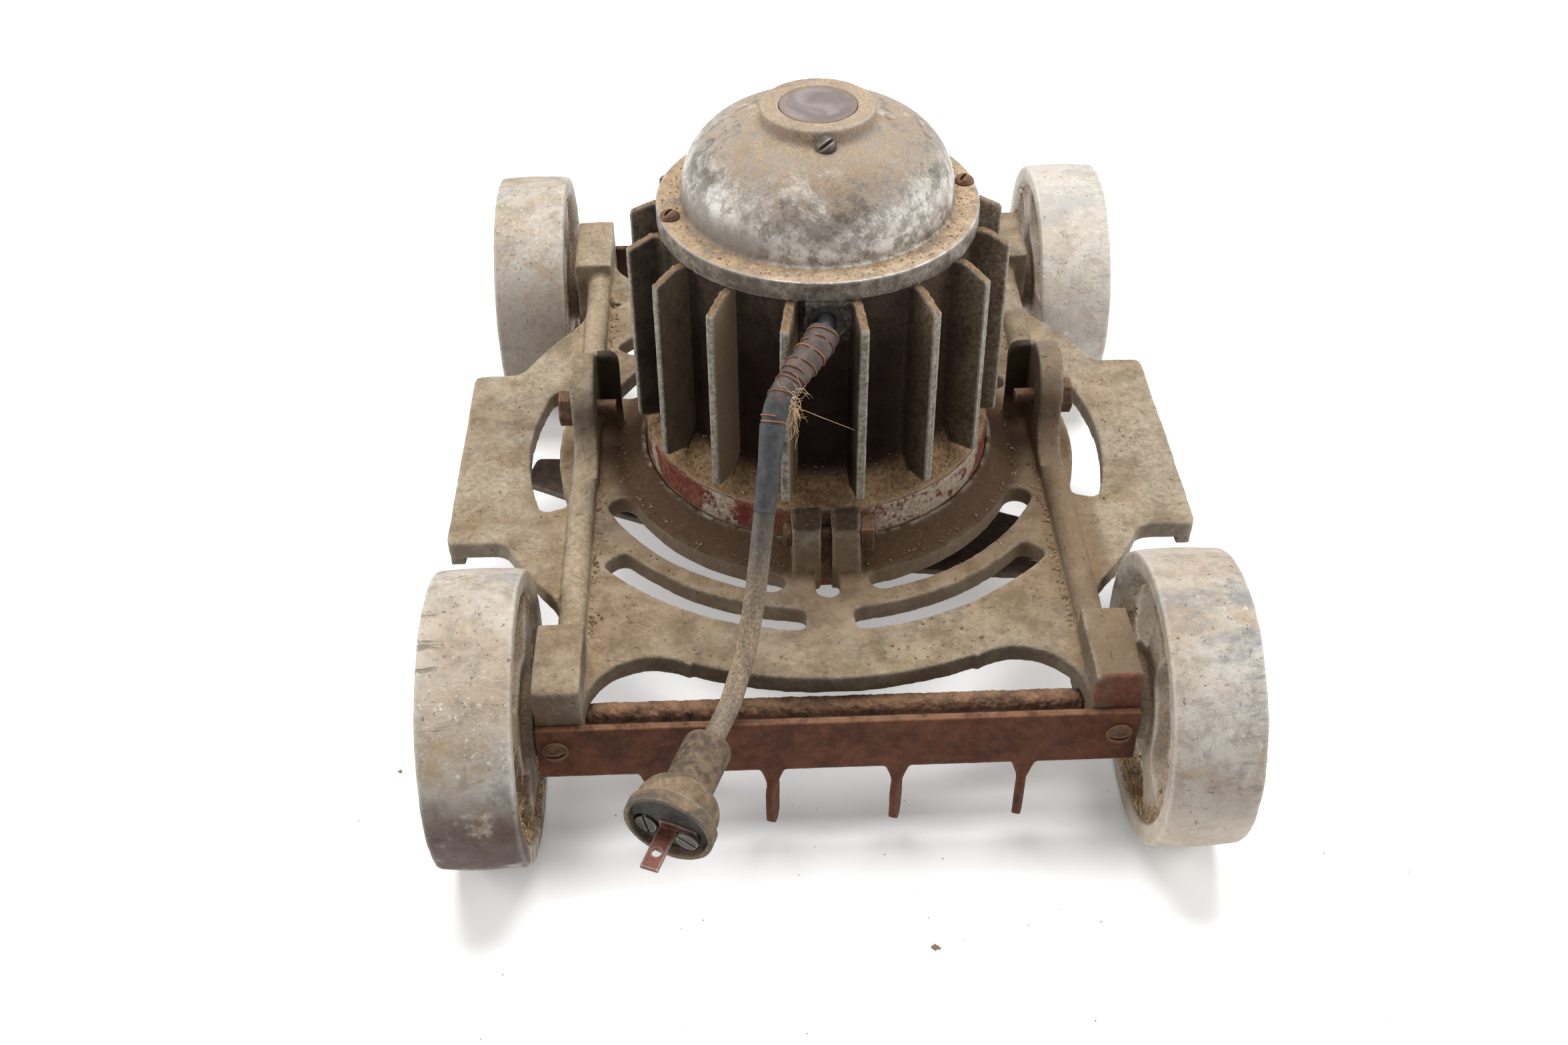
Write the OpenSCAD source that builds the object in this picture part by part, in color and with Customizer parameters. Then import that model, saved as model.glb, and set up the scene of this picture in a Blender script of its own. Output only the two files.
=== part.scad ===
// Electric rotary lawn mower, vintage, hand-pushed, without its handle.
// Millimetres. +Z up, front is -Y, origin on the ground under the middle of the four wheels.

/* [Wheels] */
// Wheel radius
wheel_r = 54; // [40:0.5:70]
// Tread width
wheel_w = 32; // [20:0.5:50]
// Distance from the middle plane to the middle of a wheel
wheel_x = 126; // [110:0.5:150]
// Distance of the front axle from the origin
front_axle_y = 141; // [110:1:170]
// Distance of the rear axle from the origin
rear_axle_y = 143; // [110:1:170]
// Axle rod radius
axle_r = 3.95; // [3:0.05:6]
// Radial play of a wheel on its axle
wheel_play = 0.07; // [0.01:0.01:0.1]
// Radial thickness of the wheel rim
rim_t = 8.5; // [5:0.5:14]
// Thickness of the wheel web
web_t = 7; // [4:0.5:14]
// How far the web lies below the rim's inner edge
web_inset = 1.6; // [0.5:0.1:10]
// Number of openings in the wheel web
web_windows = 3; // [3:1:8]

/* [Deck casting] */
// Height of the deck's top face
deck_z = 68; // [55:0.5:85]
// Thickness of the deck plate
deck_t = 8.5; // [4:0.5:14]
// Radius of the round deck
deck_r = 138; // [120:0.5:150]
// Half width over the two side wings
wing_x = 147.6; // [140:0.2:155]
// Front edge of the wings
wing_front = -61; // [-80:1:-40]
// Rear edge of the wings
wing_rear = 51.5; // [30:0.5:80]
// Depth of the bead under the outer edge of a wing
wing_lip = 5.5; // [0:0.5:15]
// Inner and outer radius of the inner slots
slot_a = [83, 94]; // [60:0.5:130]
// Inner and outer radius of the outer slots
slot_b = [102, 113.5]; // [60:0.5:130]
// Inner and outer radius of the side slots
slot_d = [107, 119]; // [60:0.5:130]
// Height of the collar round the motor
collar_z = 76; // [70:0.5:85]
// Bore radius of the collar
collar_r = 70.6; // [65:0.1:80]
// Width of the clamp gap
clamp_gap = 4; // [2:0.5:8]
// Width of one clamp lug
lug_w = 11; // [6:0.5:16]
// Foot of the clamp lugs' front face
lug_y = -86.2; // [-90:0.2:-76]

/* [Side rails and ears] */
// Inner face of a rail, from the middle plane
rail_x = 90.2; // [80:0.2:100]
// Width of a rail
rail_w = 10.6; // [6:0.2:16]
// Top of the rails
rail_z = 75; // [70:0.5:85]
// Top of the four axle blocks
block_z = 80.9; // [70:0.1:90]
// Underside of the four axle blocks
block_low = 43; // [38:0.5:48]
// Height of the handle bolts
ear_bolt_z = 88.6; // [80:0.1:100]
// Top of the handle ears
ear_top = 112.5; // [100:0.5:125]
// Half width of an ear, front to back
ear_r = 15; // [10:0.5:22]

/* [Comb and bars] */
// Thickness of the comb bar
comb_t = 3.2; // [2:0.1:6]
// Lower edge of the comb bar
comb_low = 41.3; // [30:0.1:50]
// Upper edge of the comb bar
comb_top = 65.3; // [60:0.1:75]
// Half length of the comb bar
comb_x = 106.5; // [100:0.5:110]
// Tip height of the comb teeth above the ground
tooth_tip = 12.5; // [8:0.5:25]
// Positions of the four comb teeth along the bar
tooth_x = [-67, -23.5, 21.5, 67]; // [-90:0.5:90]
// Turn of the comb teeth, degrees
tooth_turn = 18; // [0:1:45]

/* [Motor] */
// Outer radius of the cooling fins
fin_r = 73.2; // [65:0.1:80]
// Number of cooling fins
fin_count = 16; // [8:1:24]
// Thickness of a fin
fin_t = 3.4; // [2:0.1:6]
// Lower end of the fins
fin_low = 94.3; // [90:0.1:100]
// Top of the fins' outer edge
fin_top = 171; // [160:0.5:176]
// Outer radius of the motor body between the fins
body_r = 57.5; // [50:0.5:60]
// Bore radius of the motor body
body_bore = 52.4; // [45:0.1:55]
// Outer radius of the painted base ring
base_r = 70.2; // [65:0.1:75]
// Top of the base ring
base_top = 88; // [80:0.5:92]
// Underside of the base ring
base_low = 50; // [45:0.5:58]
// Radius of the cover flange
flange_r = 60.7; // [58:0.1:66]
// Underside of the cover flange
flange_low = 176.4; // [170:0.1:180]
// Top of the cover flange
flange_top = 184.3; // [180:0.1:190]
// Radius of the dome where it meets the flange
dome_r = 51; // [45:0.5:55]
// Radius of the window collar on the dome
window_r = 21.1; // [15:0.1:26]
// Top of the window collar
window_top = 221.8; // [210:0.1:230]
// Radius of the glass
glass_r = 14.2; // [10:0.1:18]

/* [Rotor and cutter] */
// Motor shaft radius
shaft_r = 5; // [4:0.1:8]
// Radial play of the shaft in its bushes
shaft_play = 0.05; // [0.01:0.01:0.1]
// Radius swept by the cutter blade
cut_r = 131; // [100:1:132]
// Height of the blade's upper face
blade_z = 28; // [20:0.5:45]
// Blade thickness
blade_t = 3; // [1.5:0.5:5]
// Half width of the blade at its tips
blade_tip = 9; // [5:0.5:20]
// Angle of the blade at rest, degrees
blade_turn = -16; // [-90:1:90]

/* [Cord and plug] */
// Cord diameter
cord_d = 7.6; // [5:0.1:10]
// Diameter over the tape binding
tape_d = 12; // [9:0.5:16]
// Plug face radius
plug_r = 15.9; // [12:0.1:20]
// Plug length from neck end to face
plug_len = 37.4; // [30:0.1:50]
// Droop of the plug below the level, degrees
plug_droop = 5; // [-20:1:20]

/* [Hidden] */
$fn = 96;

motor_y = -2;
cast = [0.55, 0.52, 0.46];
rust = [0.32, 0.19, 0.14];
steel = [0.5, 0.49, 0.47];
red = [0.42, 0.12, 0.1];
copper = [0.6, 0.32, 0.2];
rubber = [0.16, 0.16, 0.16];
alloy = [0.68, 0.66, 0.62];

comb_back = -156.2;
comb_front = comb_back - comb_t;
block_front = [-156.2, -121];
block_rear = [120.5, 160.3];
block_x = [89.8, 106.6];
block_screw_x = 99.8;
block_screw_z = 55.2;
bar_hole_r = 2.4;
clamp_y = -76;
clamp_z = 80.9;
clamp_bolt_r = 2.4;
rail_top_r = rail_w / 2;
ear_x = [89.4, 99];
pin_r = 3.175;
pin_end = 81.9;
pin_root_r = 3.6;
gland_z = 168;
lug_top = [87, 91.5];
core_z = [102, 146];
core_bore = 28.5;
brush_z = 164;
screw_r = 56.7;
base_screw_r = 61.5;
upper_z = 172;
upper_bush_l = 14;
lower_z = 72;
lower_bush_l = 20;
bush_r = 9;
screw_turns = [8, 193.5];
fin_turn = -0.9;
fin_peak = 176;
dome_low = 183.4;
dome_wall = 3.2;
shoulder_fillet = 26;
hub_x = [-18.6, 10.4];
wheel_edge_r = 2;
cotter_x = 140;
plug_face_r = plug_r - 1.8;
plug_face_low = 31.6;
plug_face_top = 34.9;
shoulder_r = 14.5;
plug_screw_x = [-8.9, 6.8];
plug_screw_y = -3.6;
blade_x = -0.4;
blade_y = -1.9;
web_x = [web_inset - wheel_w / 2, web_inset - wheel_w / 2 + web_t];

// ---------- shared shapes ----------

module ring2d(r1, r2) {
    difference() {
        circle(r = r2);
        circle(r = r1);
    }
}

module wedge2d(a1, a2, r) {
    polygon([[0, 0],
             [r * cos(a1), r * sin(a1)],
             [1.1 * r * cos((2 * a1 + a2) / 3), 1.1 * r * sin((2 * a1 + a2) / 3)],
             [1.1 * r * cos((a1 + 2 * a2) / 3), 1.1 * r * sin((a1 + 2 * a2) / 3)],
             [r * cos(a2), r * sin(a2)]]);
}

// A slot along an arc with rounded corners of radius rc; the corner circles overlap the sides a little.
module arc_slot(r1, r2, a1, a2, rc) {
    d1 = asin(rc / (r1 + rc));
    d2 = asin(rc / (r2 - rc));
    intersection() {
        ring2d(r1, r2);
        wedge2d(a1 + d1, a2 - d1, 2 * r2);
    }
    intersection() {
        ring2d(r1 + rc, r2 - rc);
        wedge2d(a1, a2, 2 * r2);
    }
    for (k = [0, 1]) {
        rotate(k == 0 ? a1 + d1 : a2 - d1)
            translate([r1 + rc, 0])
                circle(r = rc + 0.02, $fn = 48);
        rotate(k == 0 ? a1 + d2 : a2 - d2)
            translate([r2 - rc, 0])
                circle(r = rc + 0.02, $fn = 48);
    }
}

module bar_x(r, x1, x2, y, z) {
    translate([x1, y, z])
        rotate([0, 90, 0])
            cylinder(r = r, h = x2 - x1, $fn = 48);
}

// A slotted round-head screw along +Z, its seat at z = 0.
module slotted_screw(head_r, head_h, shank_r, shank_l, slot_turn) {
    sphere_r = (head_r * head_r + head_h * head_h) / (2 * head_h);
    difference() {
        intersection() {
            translate([0, 0, head_h - sphere_r])
                sphere(r = sphere_r, $fn = 64);
            cylinder(r = head_r, h = head_h + 1, $fn = 48);
        }
        rotate(slot_turn)
            translate([-head_r - 1, -0.6, head_h * 0.45])
                cube([2 * head_r + 2, 1.2, head_h]);
    }
    translate([0, 0, -shank_l])
        cylinder(r = shank_r, h = shank_l + 0.2, $fn = 32);
}

module both_sides() {
    children();
    mirror([1, 0, 0])
        children();
}

// ---------- deck casting ----------

// Where a circle of radius r, its middle at height cy, touches the round deck from outside.
function touch_x(cy, r) = sqrt((deck_r + r) * (deck_r + r) - (cy - motor_y) * (cy - motor_y)) - 0.1;

// Fills the hollow corner between the round deck and a straight edge.
module corner_fill(cy, r) {
    cx = touch_x(cy, r);
    d = sqrt(cx * cx + (cy - motor_y) * (cy - motor_y));
    tx = cx * deck_r / d;
    ty = motor_y + (cy - motor_y) * deck_r / d;
    side = cy > 0 ? 1 : -1;
    difference() {
        polygon([[cx, cy - side * r], [cx, cy], [tx, ty], [tx * 0.95, cy - side * (r + 6)]]);
        translate([cx, cy])
            circle(r = r);
    }
}

module deck_web(side) {
    difference() {
        translate([rail_x - 38, side > 0 ? 108 : -150])
            square([38, 42]);
        translate([66, side > 0 ? 146 : -150])
            circle(r = 23.4);
    }
}

module outer_web(side) {
    centre_y = side > 0 ? 100.5 : -103.5;
    difference() {
        translate([100, side > 0 ? 70 : -104])
            square([6, 34]);
        translate([121, centre_y])
            circle(r = 20);
    }
}

module deck_outline() {
    translate([0, motor_y])
        circle(r = deck_r, $fn = 192);
    translate([-wing_x + 3, wing_front])
        square([2 * wing_x - 6, wing_rear - wing_front]);
    both_sides() {
        translate([0, wing_front + 3])
            square([wing_x, wing_rear - wing_front - 6]);
        for (y = [wing_front + 3, wing_rear - 3])
            translate([wing_x - 3, y])
                circle(r = 3, $fn = 48);
        corner_fill(wing_front - 7, 7);
        corner_fill(wing_rear + 7, 7);
        deck_web(-1);
        deck_web(1);
        outer_web(-1);
        outer_web(1);
    }
}

// Draws the front pattern and mirrors it to the rear.
module front_and_rear() {
    children();
    mirror([0, 1, 0])
        children();
}

module deck_slots() {
    translate([0, motor_y])
        front_and_rear()
            both_sides() {
                arc_slot(slot_a[0], slot_a[1], -79.5, -22.8, 5.2);
                arc_slot(slot_b[0], slot_b[1], -85.2, -40.3, 3.5);
            }
    both_sides()
        intersection() {
            translate([0, motor_y])
                arc_slot(slot_d[0], slot_d[1], -20.5, 20.5, 4);
            translate([ear_x[1] + 0.3, wing_front + 3])
                square([30, wing_rear - wing_front - 6]);
        }
}

module clamp_lug() {
    translate([clamp_gap / 2 - 0.5, 0, 0])
        rotate([90, 0, 90])
            linear_extrude(height = lug_w + 0.5)
                polygon([[lug_y, deck_z - deck_t + 1], [lug_y, deck_z + 0.5], [-84.5, 74], [-80.5, lug_top[0]],
                         [-77, 90], [-72, lug_top[1]], [-66, lug_top[1]], [-66, deck_z - deck_t + 1]]);
}

// Clamp gap and the keyhole that it ends in.
module clamp_gap2d() {
    translate([-clamp_gap / 2, -93])
        square([clamp_gap, 30]);
    translate([-4.6, -92.8])
        square([9.2, 8]);
    translate([0, -92.8])
        circle(r = 4.6, $fn = 48);
}

module rail() {
    translate([rail_x + rail_top_r, block_rear[0] + 1, 0])
        rotate([90, 0, 0])
            linear_extrude(height = block_rear[0] - block_front[1] + 2) {
                translate([-rail_top_r, deck_z - deck_t])
                    square([rail_w, rail_z - rail_top_r - deck_z + deck_t]);
                translate([0, rail_z - rail_top_r])
                    circle(r = rail_top_r);
            }
}

module ear_profile() {
    translate([motor_y, ear_top - ear_r])
        circle(r = ear_r);
    translate([motor_y - ear_r, deck_z - 4])
        square([2 * ear_r, ear_top - ear_r - deck_z + 4]);
    for (side = [-1, 1])
        difference() {
            translate([motor_y + side * (ear_r + 7) - 7, rail_z - 6])
                square([14, 20]);
            translate([motor_y + side * (ear_r + 14), rail_z + 14])
                circle(r = 14);
        }
}

// Upright stop behind the handle bolt, seen from the front.
module stop_profile() {
    translate([80.5, deck_z - 4])
        square([12, 37]);
    translate([85.5, deck_z + 20])
        square([7, 18]);
    translate([85.5, deck_z + 33])
        circle(r = 5, $fn = 48);
}

module ear() {
    difference() {
        union() {
            translate([ear_x[0], 0, 0])
                rotate([90, 0, 90])
                    linear_extrude(height = ear_x[1] - ear_x[0])
                        ear_profile();
            translate([0, 14.5, 0])
                rotate([90, 0, 0])
                    linear_extrude(height = 4.5)
                        stop_profile();
        }
        bar_x(pin_root_r + 0.05, 85, 110, motor_y, ear_bolt_z);
    }
}

module axle_block(y_range) {
    difference() {
        translate([block_x[0], y_range[0], block_low])
            cube([block_x[1] - block_x[0], y_range[1] - y_range[0], block_z - block_low]);
        bar_x(axle_r, 80, 110, y_range[0] < 0 ? -front_axle_y : rear_axle_y, wheel_r);
        translate([block_screw_x, y_range[0] < 0 ? y_range[0] - 1 : y_range[1] + 1, block_screw_z])
            rotate([y_range[0] < 0 ? -90 : 90, 0, 0])
                cylinder(r = bar_hole_r, h = 9, $fn = 32);
    }
}

module deck_casting() {
    color(cast)
        difference() {
            union() {
                translate([0, 0, deck_z - deck_t])
                    linear_extrude(height = deck_t)
                        difference() {
                            deck_outline();
                            deck_slots();
                        }
                both_sides() {
                    translate([wing_x - 6, wing_front + 3, deck_z - deck_t - wing_lip])
                        cube([6, wing_rear - wing_front - 6, deck_t + wing_lip - 3]);
                    rail();
                    ear();
                    axle_block(block_front);
                    axle_block(block_rear);
                    clamp_lug();
                }
                translate([0, motor_y, 0])
                    rotate_extrude($fn = 192)
                        polygon([[collar_r - 1, 53], [collar_r + 5, 53], [collar_r + 5, deck_z - deck_t + 0.5],
                                 [slot_a[0] - 0.4, deck_z - deck_t + 0.5], [slot_a[0] - 0.4, deck_z + 0.2],
                                 [collar_r + 7.4, deck_z + 2], [collar_r + 4, collar_z - 3.4],
                                 [collar_r + 1.6, collar_z], [collar_r - 1, collar_z]]);
            }
            translate([0, motor_y, 40])
                cylinder(r = collar_r, h = 80, $fn = 192);
            translate([0, 0, 40])
                linear_extrude(height = 80)
                    clamp_gap2d();
            bar_x(clamp_bolt_r + 0.1, -20, 20, clamp_y, clamp_z);
        }
}

// ---------- comb, rear bar and fixings ----------

// One comb tooth: a flat root below the bar and a blade turned nearly edge-on.
module tooth(x) {
    translate([x, comb_front + comb_t / 2, 0]) {
        rotate([90, 0, 0])
            translate([0, 0, -comb_t / 2])
                linear_extrude(height = comb_t)
                    polygon([[-4.6, comb_low + 0.5], [4.6, comb_low + 0.5], [3, comb_low - 4],
                             [1.6, comb_low - 9], [-1.6, comb_low - 9], [-3, comb_low - 4]]);
        rotate([90, 0, 90 - tooth_turn])
            translate([0, 0, -comb_t / 2])
                linear_extrude(height = comb_t)
                    polygon([[-1.4, comb_low - 3], [1.4, comb_low - 3], [4.4, comb_low - 12],
                             [3.6, tooth_tip + 2.5], [1.4, tooth_tip], [-1.4, tooth_tip],
                             [-3.6, tooth_tip + 2.5], [-4.4, comb_low - 12]]);
    }
}

module comb_bar() {
    color(rust)
        difference() {
            union() {
                translate([-comb_x, comb_front, comb_low])
                    cube([2 * comb_x, comb_t, comb_top - comb_low]);
                for (x = tooth_x)
                    tooth(x);
            }
            for (x = [-block_screw_x, block_screw_x])
                translate([x, comb_front - 1, block_screw_z])
                    rotate([-90, 0, 0])
                        cylinder(r = bar_hole_r, h = comb_t + 2, $fn = 32);
        }
}

module comb_screws() {
    color(rust)
        for (x = [-block_screw_x, block_screw_x])
            translate([x, comb_front, block_screw_z])
                rotate([90, 0, 0])
                    slotted_screw(4.9, 3.4, 2.35, 11, 5);
}

module rear_bar() {
    color(rust)
        difference() {
            translate([-comb_x, block_rear[1], comb_low])
                cube([2 * comb_x, comb_t, comb_top - comb_low]);
            for (x = [-block_screw_x, block_screw_x])
                translate([x, block_rear[1] - 1, block_screw_z])
                    rotate([-90, 0, 0])
                        cylinder(r = bar_hole_r, h = comb_t + 2, $fn = 32);
        }
}

module rear_screws() {
    color(rust)
        for (x = [-block_screw_x, block_screw_x])
            translate([x, block_rear[1] + comb_t, block_screw_z])
                rotate([-90, 0, 0])
                    slotted_screw(4.9, 3.4, 2.35, 11, 40);
}

// ---------- axles and wheels ----------

module axle(y) {
    color(rust)
        difference() {
            bar_x(axle_r, -142, 142, y, wheel_r);
            for (x = [-cotter_x, cotter_x])
                translate([x, y, wheel_r - 6])
                    cylinder(r = 1.3, h = 12, $fn = 32);
        }
}

module front_axle() {
    axle(-front_axle_y);
}

module rear_axle() {
    axle(rear_axle_y);
}

module axle_washers() {
    color(rust)
        for (y = [-front_axle_y, rear_axle_y])
            both_sides()
                difference() {
                    bar_x(9, wheel_x + hub_x[1] + 0.4, wheel_x + hub_x[1] + 2, y, wheel_r);
                    bar_x(axle_r + 0.1, 130, 145, y, wheel_r);
                }
}

module cotter_pins() {
    color(rust)
        for (y = [-front_axle_y, rear_axle_y])
            both_sides()
                translate([cotter_x, y, wheel_r - 8]) {
                    cylinder(r = 1.25, h = 15, $fn = 32);
                    translate([0, 0, 16])
                        rotate([0, 90, 0])
                            rotate_extrude($fn = 48)
                                translate([1.9, 0])
                                    circle(r = 0.8, $fn = 24);
                }
}

// Half section of a wheel, radius along X and width along Y; inner side is -Y.
module wheel_section() {
    half = wheel_w / 2;
    intersection() {
        union() {
            translate([wheel_r - rim_t, -half + wheel_edge_r])
                square([rim_t, wheel_w - 2 * wheel_edge_r]);
            translate([wheel_r - rim_t + wheel_edge_r, -half])
                square([rim_t - 2 * wheel_edge_r, wheel_w]);
            for (side = [-1, 1], r = [wheel_r - wheel_edge_r, wheel_r - rim_t + wheel_edge_r])
                translate([r, side * (half - wheel_edge_r)])
                    circle(r = wheel_edge_r, $fn = 48);
            translate([10, web_x[0]])
                square([wheel_r - rim_t - 9, web_t]);
            translate([axle_r + wheel_play, web_x[0] + 5])
                square([12.5 - axle_r - wheel_play, hub_x[1] - web_x[0] - 5]);
            translate([9.5, hub_x[0]])
                square([5.5, 8]);
        }
        translate([wheel_r - 150, 0])
            circle(r = 150, $fn = 256);
    }
}

module wheel() {
    color(alloy)
        rotate([0, 90, 0])
            difference() {
                rotate_extrude($fn = 144)
                    wheel_section();
                for (k = [0 : web_windows - 1])
                    rotate(k * 360 / web_windows + 54)
                        translate([0, 0, web_x[0] - 1])
                            linear_extrude(height = web_t + 2)
                                arc_slot(21, wheel_r - rim_t - 1, -45, 45, 7);
            }
}

module wheel_front_right() {
    translate([wheel_x, -front_axle_y, wheel_r])
        rotate([75, 0, 0])
            wheel();
}

module wheel_rear_right() {
    translate([wheel_x, rear_axle_y, wheel_r])
        rotate([36, 0, 0])
            wheel();
}

module wheel_front_left() {
    mirror([1, 0, 0])
        translate([wheel_x, -front_axle_y, wheel_r])
            wheel();
}

module wheel_rear_left() {
    mirror([1, 0, 0])
        translate([wheel_x, rear_axle_y, wheel_r])
            rotate([50, 0, 0])
                wheel();
}

module hex_prism(across, h) {
    cylinder(r = across / 2 / cos(30), h = h, $fn = 6);
}

module handle_bolts() {
    color(rust)
        both_sides() {
            bar_x(pin_r, pin_end, ear_x[0] + 0.5, motor_y, ear_bolt_z);
            bar_x(pin_root_r, ear_x[0], ear_x[1] + 0.5, motor_y, ear_bolt_z);
            translate([ear_x[1], motor_y, ear_bolt_z])
                rotate([0, 90, 0])
                    rotate(30)
                        hex_prism(12.7, 6);
        }
}

module clamp_bolt() {
    color(rust) {
        bar_x(clamp_bolt_r, -14, 19.5, clamp_y, clamp_z);
        intersection() {
            bar_x(4.6, -16.4, -13, clamp_y, clamp_z);
            translate([-11, clamp_y, clamp_z])
                sphere(r = 6.4, $fn = 64);
        }
    }
}

module clamp_nut() {
    color(rust)
        difference() {
            translate([clamp_gap / 2 + lug_w, clamp_y - 5.3, collar_z + 0.1])
                cube([5.2, 8.6, 10.4]);
            bar_x(clamp_bolt_r, 10, 22, clamp_y, clamp_z);
        }
}

// ---------- motor ----------

module on_motor() {
    translate([0, motor_y, 0])
        children();
}

module fin() {
    rotate([90, 0, 0])
        translate([0, 0, -fin_t / 2])
            linear_extrude(height = fin_t)
                polygon([[body_r - 3, fin_low], [fin_r - 1, fin_low], [fin_r, fin_low + 1],
                         [fin_r, fin_top], [64, fin_peak], [body_r - 3, fin_peak]]);
}

module motor_housing() {
    color(cast)
        on_motor()
            difference() {
                union() {
                    translate([0, 0, base_top])
                        cylinder(r = body_r, h = flange_low - base_top, $fn = 144);
                    rotate_extrude($fn = 192)
                        polygon([[54, base_top], [69.6, base_top], [69.6, 88.6], [66, 90.5], [62.6, 93.6],
                                 [60.2, 97.4], [58.4, 101.5], [57, 106], [54, 106]]);
                    for (k = [0 : fin_count - 1])
                        rotate(fin_turn - 90 + (k + 0.5) * 360 / fin_count)
                            fin();
                    for (a = screw_turns)
                        rotate(a)
                            translate([screw_r + 0.3, 0, 150])
                                cylinder(r = 3.7, h = flange_low - 150.2, $fn = 48);
                    translate([0, -50, gland_z])
                        rotate([90, 0, 0])
                            cylinder(r = 8.2, h = 10.5, $fn = 64);
                    translate([-7.4, -60.5, gland_z])
                        cube([14.8, 10.5, flange_low - gland_z]);
                }
                translate([0, 0, base_top - 1])
                    cylinder(r = body_bore, h = flange_low - base_top + 2, $fn = 144);
                translate([0, -45, gland_z])
                    rotate([90, 0, 0])
                        cylinder(r = 6.4, h = 30, $fn = 64);
                for (a = screw_turns)
                    rotate(a)
                        translate([screw_r, 0, 158])
                            cylinder(r = 2, h = 30, $fn = 32);
                for (a = [45 : 90 : 315])
                    rotate(a)
                        translate([base_screw_r, 0, base_top - 1])
                            cylinder(r = 2, h = 4, $fn = 32);
            }
}

module base_ring() {
    color(red)
        on_motor()
            difference() {
                translate([0, 0, base_low])
                    cylinder(r = base_r, h = base_top - base_low, $fn = 192);
                translate([0, 0, base_low - 1])
                    cylinder(r = base_r - 4.7, h = base_top - base_low - 4, $fn = 144);
                translate([0, 0, base_low])
                    cylinder(r = 46, h = base_top - base_low + 1, $fn = 144);
                for (a = [45 : 90 : 315])
                    rotate(a)
                        translate([base_screw_r, 0, base_top - 7])
                            cylinder(r = 2.1, h = 8, $fn = 32);
            }
}

module base_screws() {
    color(steel)
        on_motor()
            for (a = [45 : 90 : 315])
                rotate(a)
                    translate([base_screw_r, 0, base_top - 5])
                        rotate([180, 0, 0])
                            slotted_screw(3.6, 2.2, 1.95, 7.5, 0);
}

module lower_bracket() {
    color(alloy)
        on_motor()
            difference() {
                union() {
                    translate([0, 0, base_top])
                        cylinder(r = body_bore, h = 4, $fn = 144);
                    translate([0, 0, lower_z])
                        cylinder(r = 14, h = lower_bush_l, $fn = 64);
                }
                translate([0, 0, lower_z - 2])
                    cylinder(r = bush_r, h = lower_bush_l + 10, $fn = 64);
                for (a = [0 : 60 : 300])
                    rotate(a)
                        translate([32, 0, base_top - 1])
                            cylinder(r = 8, h = 7, $fn = 48);
            }
}

module bush(z, h) {
    difference() {
        translate([0, 0, z])
            cylinder(r = bush_r, h = h, $fn = 64);
        translate([0, 0, z - 1])
            cylinder(r = shaft_r + shaft_play, h = h + 2, $fn = 64);
    }
}

module lower_bush() {
    color([0.6, 0.45, 0.22])
        on_motor()
            bush(lower_z, lower_bush_l);
}

module upper_bush() {
    color([0.6, 0.45, 0.22])
        on_motor()
            bush(upper_z, upper_bush_l);
}

module upper_bracket() {
    color(alloy)
        on_motor()
            difference() {
                union() {
                    translate([0, 0, upper_z])
                        cylinder(r = body_bore, h = flange_low - upper_z, $fn = 144);
                    translate([0, 0, upper_z])
                        cylinder(r = 13, h = upper_bush_l, $fn = 64);
                }
                translate([0, 0, upper_z - 2])
                    cylinder(r = bush_r, h = upper_bush_l + 6, $fn = 64);
                for (a = [30, 150, 210, 330])
                    rotate(a)
                        translate([34, 0, upper_z - 2])
                            cylinder(r = 9, h = 8, $fn = 48);
            }
}

module stator_core() {
    color(steel)
        on_motor()
            translate([0, 0, core_z[0]])
                linear_extrude(height = core_z[1] - core_z[0]) {
                    ring2d(44, body_bore);
                    difference() {
                        union() {
                            translate([-44.5, -13])
                                square([89, 26]);
                            intersection() {
                                circle(r = 33);
                                union() {
                                    wedge2d(-58, 58, 60);
                                    wedge2d(122, 238, 60);
                                }
                            }
                        }
                        circle(r = core_bore);
                    }
                }
}

module field_coils() {
    color(copper)
        on_motor()
            both_sides()
                difference() {
                    translate([33.4, -20, core_z[0] - 6])
                        cube([5, 40, core_z[1] - core_z[0] + 12]);
                    translate([30, -13, core_z[0]])
                        cube([12, 26, core_z[1] - core_z[0]]);
                }
}

module brush_box(side) {
    translate([-5.5, side > 0 ? 14 : -42, brush_z - 8])
        cube([11, 28, 16]);
}

module brush_holders() {
    color([0.14, 0.12, 0.11])
        on_motor()
            for (side = [-1, 1])
                difference() {
                    brush_box(side);
                    translate([-3, side > 0 ? 10 : -46, brush_z - 4])
                        cube([6, 36, 8]);
                }
}

module brushes() {
    color([0.08, 0.08, 0.08])
        on_motor()
            for (side = [-1, 1])
                difference() {
                    translate([-3, side > 0 ? 8 : -30, brush_z - 4])
                        cube([6, 22, 8]);
                    translate([0, 0, brush_z - 10])
                        cylinder(r = 11.35, h = 20, $fn = 64);
                }
}

module brush_caps() {
    color([0.6, 0.45, 0.22])
        on_motor()
            for (side = [-1, 1])
                translate([0, side * 42, brush_z])
                    rotate([side > 0 ? -90 : 90, 0, 0])
                        cylinder(r = 5, h = 2.5, $fn = 48);
}

// ---------- dome cover and window ----------

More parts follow.
